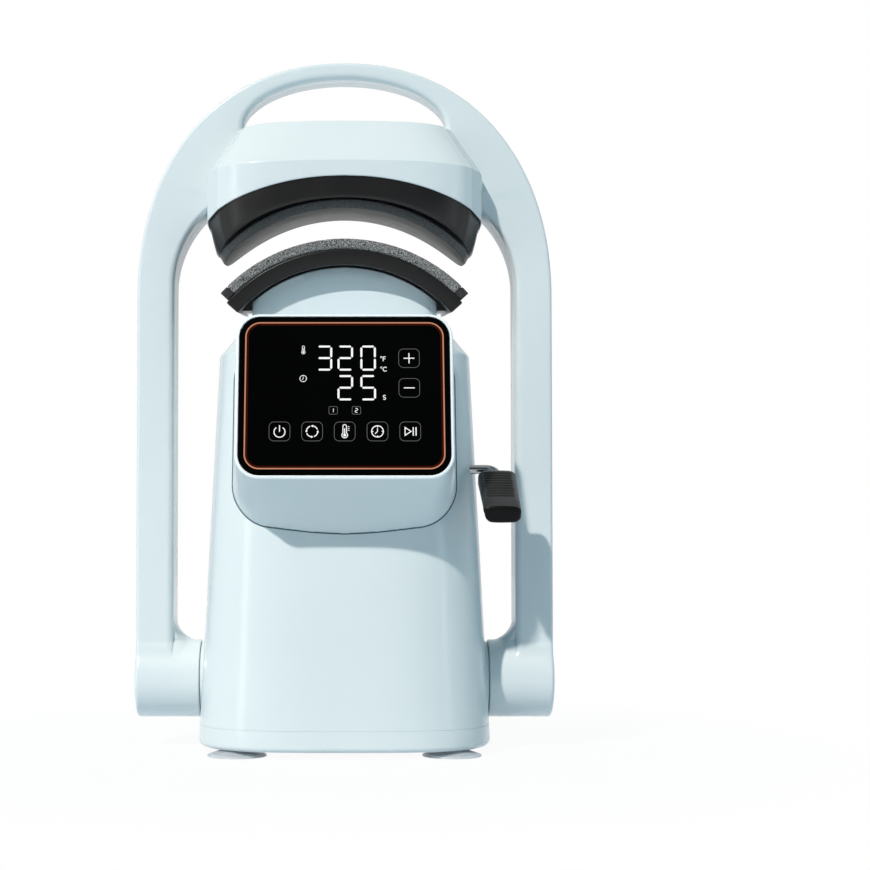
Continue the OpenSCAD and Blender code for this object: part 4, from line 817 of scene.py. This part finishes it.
# Lower platen: foam pad on its carrier, and the pedestal
foam = arc_bar(CARRIER_R, PAD_R, -PAD_ANGLE, PAD_ANGLE, PAD_HALF_D, PAD_EDGE, LIFT, 300, PAD_GRAIN)
pad = piece("press_pad_foam", foam, FOAM, "lift", "foam_grey", ("press_pad",), sharp=80)
for name, side in (("pad_end_left", -1), ("pad_end_right", 1)):
    start, end = sorted((side * (PAD_ANGLE + END_GAP), side * END_ANGLE))
    strip = arc_bar(
        CARRIER_R, PAD_R - END_GAP, start, end, PAD_HALF_D - END_GAP, END_EDGE, LIFT, 8, END_GRAIN,
    )
    piece(name, strip, FOAM_END, "lift", "foam_grey", sharp=80)
carrier = arc_bar(CARRIER_IN, CARRIER_R, -CARRIER_ANGLE, CARRIER_ANGLE, CARRIER_HALF_D, CARRIER_EDGE, LIFT)
piece("platen_carrier_bar", carrier, SATIN, "lift", "trim_black", ("platen_carrier",))


def platen_prism(shape):
    """Straight bar along the platens' axis with the given section."""
    ends = (-BRACKET_HALF_D, BRACKET_HALF_D)
    return loft([[platen_point(x, y, z, LIFT) for x, z in shape] for y in ends])


def bracket():
    """Steel strip from the pedestal's side to the carrier's end, with its edge turned down."""
    end, low = BRACKET_END, BRACKET_TOP - BRACKET_T
    return platen_prism([
        (PEDESTAL_W, low), (PEDESTAL_W, BRACKET_TOP), (end, BRACKET_TOP), (end, low - BRACKET_LIP),
        (end - BRACKET_T, low - BRACKET_LIP), (end - BRACKET_T, low),
    ])


def gusset():
    """Black web that fills the corner between the strip, the pedestal and the carrier."""
    radius = CARRIER_IN - 0.05
    turns = steps(asin(BRACKET_END / radius), asin(PEDESTAL_W / radius), 8)
    bow = [(radius * sin(a), radius * cos(a)) for a in turns]
    return platen_prism([(PEDESTAL_W, BRACKET_TOP), (BRACKET_END, BRACKET_TOP), *bow])


for name, turned in (("right", lambda part: part), ("left", mirrored)):
    node = f"carrier_bracket_{name}"
    strip = piece(node + "_strip", turned(bracket()), BRACKET, "lift", "steel", (node,))
    soften(strip, BRACKET_EDGE)
    piece(f"carrier_gusset_{name}", turned(gusset()), SATIN, "lift", "trim_black")


def saddle(x, y):
    """Height of the pedestal's curved top."""
    rise = sqrt((CARRIER_IN - SADDLE_GAP) ** 2 - x * x)
    return platen_point(0, y / cos(TILT), rise, LIFT)[2]


def pedestal():
    def ring(inset, t):
        plan = outline(PEDESTAL_W - inset, PEDESTAL_D - inset, PEDESTAL_POWER, 320)
        return [(x, y - FORWARD, lerp(PEDESTAL_Z, saddle(x, y), t)) for x, y in plan]

    rings = [ring(0, t) for t in steps(0, 0.985, 14)]
    return loft(rings + [ring(0.4, 0.995), ring(1.2, 1.0), ring(PEDESTAL_D - 4, 1.0)])


piece("pedestal_block", pedestal(), PEDESTAL, "lift", "shell_blue", ("pedestal",))


# Body: drafted tower with a chamfered shoulder on a shallow pan

def body_size(z):
    """Half width and half depth of the drafted body at a height."""
    t = min((z - PAN_Z) / (SHOULDER_Z - PAN_Z), 1)
    return lerp(BASE_W, SHOULDER_W, t), lerp(BASE_D, SHOULDER_D, t)


def body_ring(inset, z):
    half_w, half_d = body_size(z)
    return [(x, y, z) for x, y in outline(half_w - inset, half_d - inset, BODY_POWER)]


def slot_ring(grow, z):
    plan = outline(PEDESTAL_W + SLOT_GAP + grow, PEDESTAL_D + SLOT_GAP + grow, PEDESTAL_POWER)
    return [(x, y - FORWARD, z) for x, y in plan]


def body_tower():
    """Hollow tower with a slot for the pedestal."""
    foot, under = SEAM_Z + SEAM_GAP, BODY_TOP - BODY_WALL
    profile = rounded(
        [(SEAM_EDGE, foot), (0, foot + SEAM_EDGE), (0, SHOULDER_Z), (SHOULDER_IN, BODY_TOP),
         (SHOULDER_IN + TOP_FLAT, BODY_TOP)],
        [0, 0, SHOULDER_ROUND, TOP_ROUND, 0],
    )
    low, high = profile[1], profile[2]
    rings = [body_ring(BODY_WALL, foot), body_ring(SEAM_DEPTH, foot), body_ring(*profile[0])]
    rings += [body_ring(0, z) for z in steps(low[1], high[1] - 1, 24)]
    rings += [body_ring(inset, z) for inset, z in profile[2:]]
    rings += [slot_ring(0.6, BODY_TOP), slot_ring(0.1, BODY_TOP - 0.3), slot_ring(0, under)]
    rings += [body_ring(SHOULDER_IN + BODY_WALL, under), body_ring(BODY_WALL, SHOULDER_Z - BODY_WALL / 2)]
    return loft(rings, loop=True)


tower = piece("body_tower", body_tower(), SHELL, "base", "shell_blue", ("body_shell",))
low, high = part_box("rear_panel")
rear_low, rear_high = low / MM, high / MM
cut(tower, block(
    (rear_low.x + REAR_LEDGE, REAR_CUT_START, rear_low.z + REAR_LEDGE),
    (rear_high.x - REAR_LEDGE, REAR_CUT_END, rear_high.z - REAR_LEDGE),
))

boss = [
    (BOSS_BORE, BOSS_IN), (BOSS_R, BOSS_IN), (BOSS_R, BOSS_END - BOSS_EDGE), (BOSS_R - BOSS_EDGE, BOSS_END),
    (BOSS_BORE, BOSS_END),
]
for side, name in ((1, "right"), (-1, "left")):
    piece(f"pivot_boss_{name}", on_axis(lathe(boss, loop=True), side, 0), SHELL, "base", "shell_blue")


def pan():
    profile = rounded(
        [(PAN_IN, PAN_Z), (0, PAN_Z), (0, SEAM_Z - SEAM_EDGE), (SEAM_EDGE, SEAM_Z)], [0, PAN_ROUND, 0, 0],
    )
    rings = [body_ring(inset, z) for inset, z in profile]
    return loft(rings + [body_ring(BODY_WALL, SEAM_Z), body_ring(BODY_WALL, PAN_FLOOR)])


piece("base_pan_tray", pan(), SHELL, "base", "shell_blue", ("base_pan",))

cup = rounded(
    [(0, 2.2), (5.5, 2.2), (13.5, 0), (17.5, 0), (17.2, 0.9), (10.5, 3.2), (8.5, 4.0), (4.0, 4.0),
     (4.0, 8.1)],
    [0, 3, 1, 0.2, 0.6, 4, 1, 0.4, 0], arc_steps=5,
)
for x_side, x_name in ((-1, "left"), (1, "right")):
    for y_side, y_name in ((-1, "front"), (1, "rear")):
        seat = Matrix.Translation((x_side * FOOT_X, y_side * FOOT_Y, 0))
        name = f"foot_{y_name}_{x_name}"
        piece(name + "_cup", moved(lathe(cup), seat), SILICONE, "base", "silicone_grey", (name,))


# Panel: housing, black glass and its lit marks

def on_panel(points, z):
    """Flat points at a height of the panel's own frame."""
    return [tuple(PANEL @ Vector((x, y, z))) for x, y in points]


def glass_outline(grow):
    return round_rect(GLASS_W / 2 + grow, -GLASS_H / 2 - grow, GLASS_H / 2 + grow, GLASS_R + grow, 24)


def seat_ring(grow, z):
    """Outline of the seat of the glass."""
    return on_panel(resample(glass_outline(grow), PANEL_COUNT), z)


def housing_ring(share, grow=0.0):
    """Outline of the housing at a share of its depth, where it flares and sinks towards the body."""
    half_w = GLASS_W / 2 + PANEL_RIM + PANEL_FLARE * share + grow
    half_h = GLASS_H / 2 + PANEL_RIM
    low, high = -half_h - PANEL_FALL * share - grow, half_h - PANEL_TOP_FALL * share + grow
    corner = GLASS_R + PANEL_RIM + PANEL_ROUND * share + grow
    ring = []
    for x, y in resample(round_rect(half_w, low, high, corner, 24), PANEL_COUNT):
        ring.append((x, y - PANEL_BELLY * share * (1 - (x / half_w) ** 2) * smooth(y / low)))
    return on_panel(ring, -PANEL_DEPTH * share)


def panel_rim():
    """Rounded rim that frames the glass, painted whiter than the shell as a painted highlight of the
    housing's edge.
    """
    rings = [housing_ring(depth / PANEL_DEPTH, -inset) for inset, depth in bend(RIM_DEPTH, 10)]
    rings += [seat_ring(SEAT_GAP + 0.25, 0), seat_ring(SEAT_GAP, -0.25), seat_ring(SEAT_GAP, -RIM_DEPTH)]
    return loft(rings, loop=True)


def inside_body(point):
    x, y, z = point
    inset = max(z - SHOULDER_Z, 0) / (BODY_TOP - SHOULDER_Z) * SHOULDER_IN
    half_w, half_d = (size - inset for size in body_size(z))
    return z < BODY_TOP and abs(x / half_w) ** BODY_POWER + abs(y / half_d) ** BODY_POWER < 1


# Lines along the housing, and the share of its depth at which each of them enters the body
HOUSING_SHARES = steps(0, 1, HOUSING_STEPS)
HOUSING = [housing_ring(share) for share in HOUSING_SHARES]
HOUSING_ENDS = [
    next((share for share, point in zip(HOUSING_SHARES, line) if inside_body(point)), 1.0)
    for line in zip(*HOUSING)
]


def housing_line(i, share):
    """Point at a share of the depth on one of the lines along the housing."""
    at = min(share, 1.0) * HOUSING_STEPS
    k = min(int(at), HOUSING_STEPS - 1)
    return tuple(lerp(a, b, at - k) for a, b in zip(HOUSING[k][i], HOUSING[k + 1][i]))


def panel_housing():
    """Hollow housing that ends within the wall of the body."""
    rim = RIM_DEPTH / PANEL_DEPTH
    rings = [
        [housing_line(i, lerp(end + PANEL_SINK, rim, t)) for i, end in enumerate(HOUSING_ENDS)]
        for t in steps(0, 1, 24)
    ]
    rings += [seat_ring(SEAT_GAP, -depth) for depth in (RIM_DEPTH, SEAT_DEPTH)]
    return loft(rings, caps=(False, True))


housing = piece("panel_housing_hood", panel_housing(), SHELL, "base", "shell_blue", ("panel_housing",))
thicken(housing, PANEL_WALL)
piece("panel_rim", panel_rim(), RIM, "base", "shell_blue")


def housing_join_shade():
    """Thin dark ribbon that runs along the housing where it meets the body, as painted shade of the joint.
    """
    path = [Vector(housing_line(i, end)) for i, end in enumerate(HOUSING_ENDS)]
    path = [p for p, following in zip(path, path[1:] + path[:1]) if (following - p).length > 0.05]
    rings = []
    for i, p in enumerate(path):
        along = (path[(i + 1) % len(path)] - path[i - 1]).normalized()
        across = along.cross(Vector((0, -1, 0.2))).normalized()
        rings.append(circle(p, across, across.cross(along), JOIN_SHADE_R, 10))
    return loft(rings, loop=True)


piece("panel_join_shade", housing_join_shade(), JOIN_SHADE, "base", "trim_black")


def glass_plate():
    rings = [on_panel(glass_outline(0), -GLASS_T)]
    return loft(rings + [on_panel(glass_outline(-inset), -depth) for inset, depth in bend(GLASS_EDGE, 6)])


piece("panel_glass_plate", glass_plate(), GLASS, "base", "panel_black", ("panel_glass",))


def mark(place):
    """Place on the glass, from its middle, of a pixel of the photograph."""
    return (place[0] - GLASS_MIDDLE[0]) * PX, (GLASS_MIDDLE[1] - place[1]) * PY


def stroke(points, width, closed=False):
    """Flat line of even width through points on the glass."""
    points = [Vector(p) for p in points]
    count = len(points)
    left, right = [], []
    for i, p in enumerate(points):
        last = points[i - 1] if closed or i else p
        following = points[(i + 1) % count] if closed or i < count - 1 else p
        a = (p - last).normalized() if (p - last).length else (following - p).normalized()
        b = (following - p).normalized() if (following - p).length else a
        along = (a + b).normalized()
        normal = Vector((-along.y, along.x))
        reach = width / 2 / max(normal.dot(Vector((-a.y, a.x))), 0.4)
        left.append(p + normal * reach)
        right.append(p - normal * reach)
    faces = []
    for i in range(count if closed else count - 1):
        j = (i + 1) % count
        faces.append((i, j, count + j, count + i))
    return [tuple(p) for p in left + right], faces


def bar(x, y, half_w, half_h, width=ICON_LINE):
    """Straight stroke about its middle."""
    return stroke([(x - half_w, y - half_h), (x + half_w, y + half_h)], width)


def polygon(points):
    return [tuple(p) for p in points], [tuple(range(len(points)))]


def arc(cx, cy, radius, start, end, count=40):
    return [
        (cx + radius * cos(radians(a)), cy + radius * sin(radians(a)))
        for a in steps(start, end, count)
    ]


def on_glass(shapes, height):
    points, faces = joined(*shapes)
    return on_panel(points, height), faces


SEGMENTS = {" ": "", "0": "abcdef", "1": "bc", "2": "abged", "3": "abgcd", "5": "afgcd"}


def segment(start, end, half, gap):
    """Level or upright bar of a digit with pointed ends."""
    start, end = Vector(start), Vector(end)
    along = (end - start).normalized()
    tip, out = along * half, Vector((along.y, along.x)) * half
    start, end = start + along * gap, end - along * gap
    return polygon([start, start + tip + out, end - tip + out, end, end - tip - out, start + tip - out])


def digit(figure, x, y, w, h, width, gap):
    """Seven-segment digit with its lower left corner at x, y."""
    right, middle, top = x + w, y + h / 2, y + h
    ends = {
        "a": ((x, top), (right, top)), "g": ((x, middle), (right, middle)), "d": ((x, y), (right, y)),
        "f": ((x, middle), (x, top)), "b": ((right, middle), (right, top)),
        "e": ((x, y), (x, middle)), "c": ((right, y), (right, middle)),
    }
    return [segment(*ends[key], width / 2, gap) for key in SEGMENTS[figure]]


def digits():
    """Temperature above and time below."""
    shapes = []
    for row, figures in ((HEAT_ROW, "320"), (TIME_ROW, " 25")):
        for column, figure in zip(DIGIT_COLUMNS, figures):
            shapes += digit(figure, *mark((column, row)), DIGIT_W, DIGIT_H, DIGIT_LINE, DIGIT_GAP)
    return shapes


def key_frame(place, half, radius):
    x, y = mark(place)
    shape = [(x + u, y + v) for u, v in round_rect(half, -half * KEY_SQUASH, half * KEY_SQUASH, radius, 8)]
    return stroke(shape, KEY_LINE, closed=True)


def power_icon(x, y):
    return [stroke(arc(x, y - 0.3, 3.1, 125, 415), ICON_LINE), bar(x, y + 1.7, 0, 1.9)]


def cycle_icon(x, y):
    """Four arrows round a circle."""
    radius, sweep, barb, point = 3.2, 62, 0.75, 1.1
    shapes = []
    for start in (20, 110, 200, 290):
        shapes.append(stroke(arc(x, y, radius, start, start + sweep), ICON_LINE))
        a = radians(start + sweep)
        tip = Vector((x + radius * cos(a), y + radius * sin(a)))
        along, out = Vector((-sin(a), cos(a))), Vector((cos(a), sin(a)))
        shapes.append(polygon([tip + out * barb, tip - out * barb, tip + along * point]))
    return shapes


def thermometer(x, y, size):
    bulb_y = y - 2.2 * size
    stem = arc(x, y + 3.0 * size, size, 0, 180, 12) + arc(x, bulb_y, 1.6 * size, 129, 411, 24)
    return [
        stroke(stem, 0.5 * size, closed=True), bar(x, y - 0.1 * size, 0, 1.9 * size, 0.55 * size),
        polygon(arc(x, bulb_y, 0.85 * size, 0, 345, 20)),
    ]


def heat_icon(x, y):
    return thermometer(x, y, 1.0) + [bar(x + 2.2, y + d, 0.5, 0, 0.35) for d in (0.6, 1.7, 2.8)]


def clock(x, y, radius=3.3):
    """Dial with two hands and four ticks."""
    hands = [(x, y + radius * 0.55), (x, y), (x - radius * 0.42, y - radius * 0.42)]
    shapes = [stroke(arc(x, y, radius, 0, 360, 60)[:-1], 0.17 * radius, closed=True)]
    shapes.append(stroke(hands, 0.15 * radius))
    for a in (0, 90, 180, 270):
        c, s = radius * cos(radians(a)), radius * sin(radians(a))
        shapes.append(stroke([(x + c * t, y + s * t) for t in (0.72, 0.95)], 0.14 * radius))
    return shapes


def start_icon(x, y):
    """Triangle and two bars."""
    play = [(x - 2.9, y - 2.3), (x - 2.9, y + 2.3), (x + 0.5, y)]
    return [stroke(play, 0.55, closed=True)] + [bar(x + d, y, 0, 2.5, 0.62) for d in (1.7, 3.3)]


def units():
    """Signs for the degrees of two scales and for seconds."""
    x, y = mark(FAHRENHEIT)
    shapes = [stroke([(x + 2.6, y + 1.2), (x + 1.1, y + 1.2), (x + 1.1, y - 1.4)], UNIT_LINE)]
    shapes.append(bar(x + 1.7, y, 0.6, 0, UNIT_LINE))
    x, y = mark(CELSIUS)
    shapes.append(stroke(arc(x + 2.2, y, 1.2, 45, 315), UNIT_LINE))
    x, y = mark(SECONDS)
    shapes.append(stroke(arc(x, y + 0.62, 0.62, 20, 270) + arc(x, y - 0.62, 0.62, 90, -160), UNIT_LINE))
    for x, y in (mark(FAHRENHEIT), mark(CELSIUS)):
        shapes.append(stroke(arc(x, y + 1.0, 0.42, 0, 360), 0.24))
    return shapes


def icons():
    """Signs on the keys, beside the digits and in the preset boxes."""
    shapes = units() + thermometer(*mark(HEAT_SIGN), HEAT_SIZE) + clock(*mark(TIME_SIGN), TIME_SIZE)
    for draw, place in zip((power_icon, cycle_icon, heat_icon, clock, start_icon), KEYS):
        shapes += draw(*mark(place))
    shapes += [bar(*mark(place), PLUS_HALF, 0) for place in (MORE_KEY, LESS_KEY)]
    shapes.append(bar(*mark(MORE_KEY), 0, PLUS_HALF))
    for figure, place, middle in PRESETS:
        x, y = mark(place)
        shapes += digit(figure, x - middle, y - PRESET_H / 2, PRESET_W, PRESET_H, 0.38, 0.04)
    return shapes


def panel_line(inset, width):
    return [stroke(glass_outline(-inset), width, closed=True)]


frames = [key_frame(place, KEY_HALF, KEY_ROUND) for place in KEYS]
frames += [key_frame(place, PRESET_HALF, PRESET_ROUND) for _, place, _ in PRESETS]
for name, shapes, height, material in (
    ("panel_digits", digits(), MARK_Z, WHITE_MARK),
    ("panel_icons", icons(), MARK_Z, WHITE_MARK),
    ("panel_key_frames", frames, FRAME_Z, GREY_MARK),
    ("panel_copper_line", panel_line(COPPER_INSET, COPPER_LINE), FRAME_Z, COPPER_MARK),
    ("panel_line_glow", panel_line(GLOW_INSET, GLOW_LINE), GLOW_Z, RED_GLOW),
):
    piece(name, on_glass(shapes, height), material, "base", "panel_black")


# Lever: chrome rod with an elbow and a ribbed grip

def rod_path():
    """Way of the rod from its inner end through the elbow into the grip."""
    straight = [Vector((x, LEVER_Y, LEVER_Z)) for x in (ROD_INNER, ROD_STRAIGHT)]
    bend = [
        LEVER @ Vector((-ELBOW_R + ELBOW_R * sin(a), 0, ELBOW_R - ELBOW_R * cos(a)))
        for a in quarter(20)
    ]
    return straight + bend + [LEVER @ Vector((0, 0, ROD_TIP))]


piece("lever_rod_bar", tube(rod_path(), ROD_R, 48), CHROME, "lever", "lever_chrome", ("lever_rod",))


def grip_ring(section, s):
    """Section of the grip at a way s along it."""
    first, last = GRIP_START + RIB_START, GRIP_STOP - RIB_END
    nose = GRIP_NOSE * round_in((s - GRIP_START) / GRIP_NOSE)
    tail = GRIP_TAIL * round_in((GRIP_STOP - s) / GRIP_TAIL)
    narrow = 1 - (nose + tail) / (GRIP_W / 2)
    half_t = GRIP_T / 2 - NOSE_SHARE * nose - tail
    wave = 0.0
    if first < s < last:
        wave = (1 - cos(2 * pi * RIB_COUNT * (s - first) / (last - first))) / 2
    draft = GRIP_DRAFT * (s - GRIP_START) / GRIP_LEN
    pillow = GRIP_PILLOW * max((s - last) / RIB_END, 0.0) ** 2
    ring = []
    for x, y in section:
        across, up = 2 * x / GRIP_W, 2 * y / GRIP_T
        height = up * (half_t - GRIP_CROWN * across ** 2)
        if y > 0:
            height -= pillow * up * (1 + across ** 2) / 2
            height -= RIB_DEPTH * wave ** RIB_POWER * smooth((GRIP_W / 2 - RIB_MARGIN - abs(x)) / RIB_FADE)
        inward = draft * max(-across, 0.0) * (1 - up) / 2
        ring.append(tuple(LEVER @ Vector((x * narrow + inward, height, s))))
    return ring


def grip():
    """Ribbed part and smooth end of the grip, which has rounded ends."""
    section = resample(round_rect(GRIP_W / 2, -GRIP_T / 2, GRIP_T / 2, GRIP_ROUND, 10), 220)
    stations = [GRIP_START + along for along, _ in bend(GRIP_NOSE, 12)]
    stations += steps(GRIP_START + GRIP_NOSE + 0.2, GRIP_STOP - GRIP_TAIL - 0.2, 180)
    stations += [GRIP_STOP - across for _, across in bend(GRIP_TAIL, 12)]
    rings = [grip_ring(section, s) for s in stations]
    seam = next(i for i, s in enumerate(stations) if s > GRIP_STOP - GRIP_TAIL)
    return loft(rings[:seam + 1]), loft(rings[seam:])


ribbed, smooth_end = grip()
piece("lever_grip_ribbed", ribbed, RUBBER, "lever", "grip_black", ("lever_grip",), sharp=60)
# The end's darker finish is partly painted shade
piece("lever_grip_end", smooth_end, GRIP_END, "lever", "grip_black", sharp=60)


# Mains switch: on and off marks on the two faces of its rocker

def on_rocker(shape, side):
    """Flat marks on the upper (1) or lower (-1) face of the rocker."""
    points, faces = shape
    face = ROCKER @ Matrix.Rotation(-side * ROCKER_LEAN, 4, "X")
    y = ROCKER_FACE + ROCKER_SKIN
    return [tuple(face @ Vector((-x, y, z + side * ROCKER_MARK))) for x, z in points], faces


switch_marks = joined(
    on_rocker(bar(0, 0, 0, 1.5, 0.6), 1),
    on_rocker(stroke(arc(0, 0, 1.4, 0, 360, 40)[:-1], 0.5, closed=True), -1),
)
piece("switch_marks", switch_marks, PAINT_MARK, "rocker", "rocker_black")


# Stage, in metres: floor, world, lamps and camera
FLOOR_HALF, FLOOR_COLOR = 6, (0.64, 0.72, 0.78, 1)
FADE_NEAR, FADE_FAR, FADE_LOW = 0.14, 0.42, 0.95
AMBIENT_COLOR, AMBIENT = (0.48, 0.84, 1.0, 1), 0.3
MIRROR_START, MIRROR_END, MIRROR_FRONT, MIRROR_SIDES = -0.95, -0.1, 0.12, 1.0
WHITE, KEY_WARM, FILL_BLUE = (1.0, 1.0, 1.0), (1.0, 0.935, 0.865), (0.74, 0.91, 1.0)
KEY, KEY_AT, KEY_TARGET, KEY_ANGLE = 2.9, (-1.05, -1.6, 1.98), (0, 0, 0.2), radians(2)
FILL_TARGET, STRIP_X, STRIP_Y, STRIP_Z = (0, 0, 0.25), 1.13, -0.83, 0.4
STRIP = {"shape": "RECTANGLE", "size": 0.22, "size_y": 1.1}
REAR, REAR_AT, REAR_SHAPE = 8.5, (0, 1.6, 1.0), {"shape": "RECTANGLE", "size": 0.3, "size_y": 0.6}
SENSOR, PIXELS, FOCAL_PX = 36.0, 870.0, 1774.0
CAMERA_AWAY, CAMERA_HEIGHT, PITCH = 1100, 122, radians(2.0)
CENTRE_PX, HORIZON_PX = 344.5, 547.5   # column and row of the photograph that the camera looks along


def math_node(tree, operation, first, second):
    return add(tree, "Math", {0: first, 1: second}, operation=operation).outputs[0]


def ray_share(tree, *kinds):
    """One for the named kinds of ray, and nought for all others."""
    path = add(tree, "LightPath")
    share = path.outputs[kinds[0]]
    for kind in kinds[1:]:
        share = math_node(tree, "MAXIMUM", share, path.outputs[kind])
    return share


def mix_shaders(tree, first, second, share):
    return add(tree, "MixShader", {"Fac": share, 1: first, 2: second}).outputs[0]


def floor_fade(tree):
    """Share of plain white in the floor, which grows from low near the press to one far from it."""
    place = add(tree, "TexCoord").outputs["Object"]
    reach = add(tree, "VectorMath", {0: place}, operation="LENGTH").outputs["Value"]
    fade = remap(tree, reach, FADE_NEAR, FADE_FAR, FADE_LOW, 1.0, "SMOOTHSTEP")
    seen = ray_share(tree, "Is Camera Ray", "Is Glossy Ray", "Is Transmission Ray")
    return math_node(tree, "MULTIPLY", fade, seen)


def floor_material():
    """Pale paper that takes the shadow of the press and fades to white."""
    mat = bpy.data.materials.new("floor")
    mat.use_nodes = True
    tree = mat.node_tree
    paper = tree.nodes["Principled BSDF"]
    feed(tree, paper, {"Base Color": FLOOR_COLOR, "Roughness": 0.9, "Specular IOR Level": 0.1})
    white = add(tree, "Emission", {"Strength": 1.0})
    shade = mix_shaders(tree, paper.outputs[0], white.outputs[0], floor_fade(tree))
    feed(tree, tree.nodes["Material Output"], {"Surface": shade})
    return mat


floor_mesh = bpy.data.meshes.new("floor")
floor_corners = [(-1, -1), (1, -1), (1, 1), (-1, 1)]
floor_mesh.from_pydata([(x * FLOOR_HALF, y * FLOOR_HALF, 0) for x, y in floor_corners], [], [(0, 1, 2, 3)])
floor_mesh.materials.append(floor_material())
floor = bpy.data.objects.new("floor", floor_mesh)
scene.collection.objects.link(floor)


def studio_reflections(tree):
    """Backdrop that gloss mirrors: dim in front of the press and bright at its sides and behind it."""
    axes = add(tree, "SeparateXYZ", {0: add(tree, "TexCoord").outputs["Generated"]})
    light = remap(
        tree, axes.outputs["Y"], MIRROR_START, MIRROR_END, MIRROR_FRONT, MIRROR_SIDES, "SMOOTHSTEP",
    )
    return add(tree, "Background", {"Strength": light}).outputs[0]


def light_world():
    """Blue ambient light, with a white backdrop for the camera and the studio for gloss."""
    world = bpy.data.worlds.new("studio")
    scene.world = world
    world.use_nodes = True
    tree = world.node_tree
    ambient = tree.nodes["Background"]
    feed(tree, ambient, {"Color": AMBIENT_COLOR, "Strength": AMBIENT})
    white = add(tree, "Background", {"Color": (*WHITE, 1), "Strength": 1.0})
    gloss = ray_share(tree, "Is Glossy Ray")
    glossy = mix_shaders(tree, ambient.outputs[0], studio_reflections(tree), gloss)
    seen = ray_share(tree, "Is Camera Ray", "Is Transmission Ray")
    feed(tree, tree.nodes["World Output"], {"Surface": mix_shaders(tree, glossy, white.outputs[0], seen)})


light_world()


def lamp(name, kind, energy, position, target, **settings):
    light = bpy.data.lights.new(name, kind)
    light.energy = energy
    for key, value in settings.items():
        setattr(light, key, value)
    obj = bpy.data.objects.new(name, light)
    obj.location = position
    obj.rotation_mode = "QUATERNION"
    obj.rotation_quaternion = (Vector(target) - Vector(position)).to_track_quat("-Z", "Y")
    scene.collection.objects.link(obj)
    return obj


lamp("key", "SUN", KEY, KEY_AT, KEY_TARGET, angle=KEY_ANGLE, color=KEY_WARM)
for name, side, energy, color in (("strip_left", -1, 2.3, WHITE), ("strip_right", 1, 1.25, FILL_BLUE)):
    lamp(name, "AREA", energy, (side * STRIP_X, STRIP_Y, STRIP_Z), FILL_TARGET, color=color, **STRIP)
rear = lamp("fill_rear", "AREA", REAR, REAR_AT, FILL_TARGET, color=FILL_BLUE, **REAR_SHAPE)
rear.visible_glossy = False

camera_data = bpy.data.cameras.new("camera")
camera_data.sensor_width = SENSOR
camera_data.lens = SENSOR * FOCAL_PX / PIXELS
camera_data.shift_x = (PIXELS / 2 - CENTRE_PX) / PIXELS
camera_data.shift_y = (HORIZON_PX - PIXELS / 2) / PIXELS - tan(PITCH) * FOCAL_PX / PIXELS
camera = bpy.data.objects.new("camera", camera_data)
camera.location = Vector((0, (PIVOT_Y - CAMERA_AWAY) * MM, CAMERA_HEIGHT * MM))
camera.rotation_euler = (pi / 2 + PITCH, 0, 0)
scene.collection.objects.link(camera)
scene.camera = camera

scene.view_settings.view_transform = "Standard"
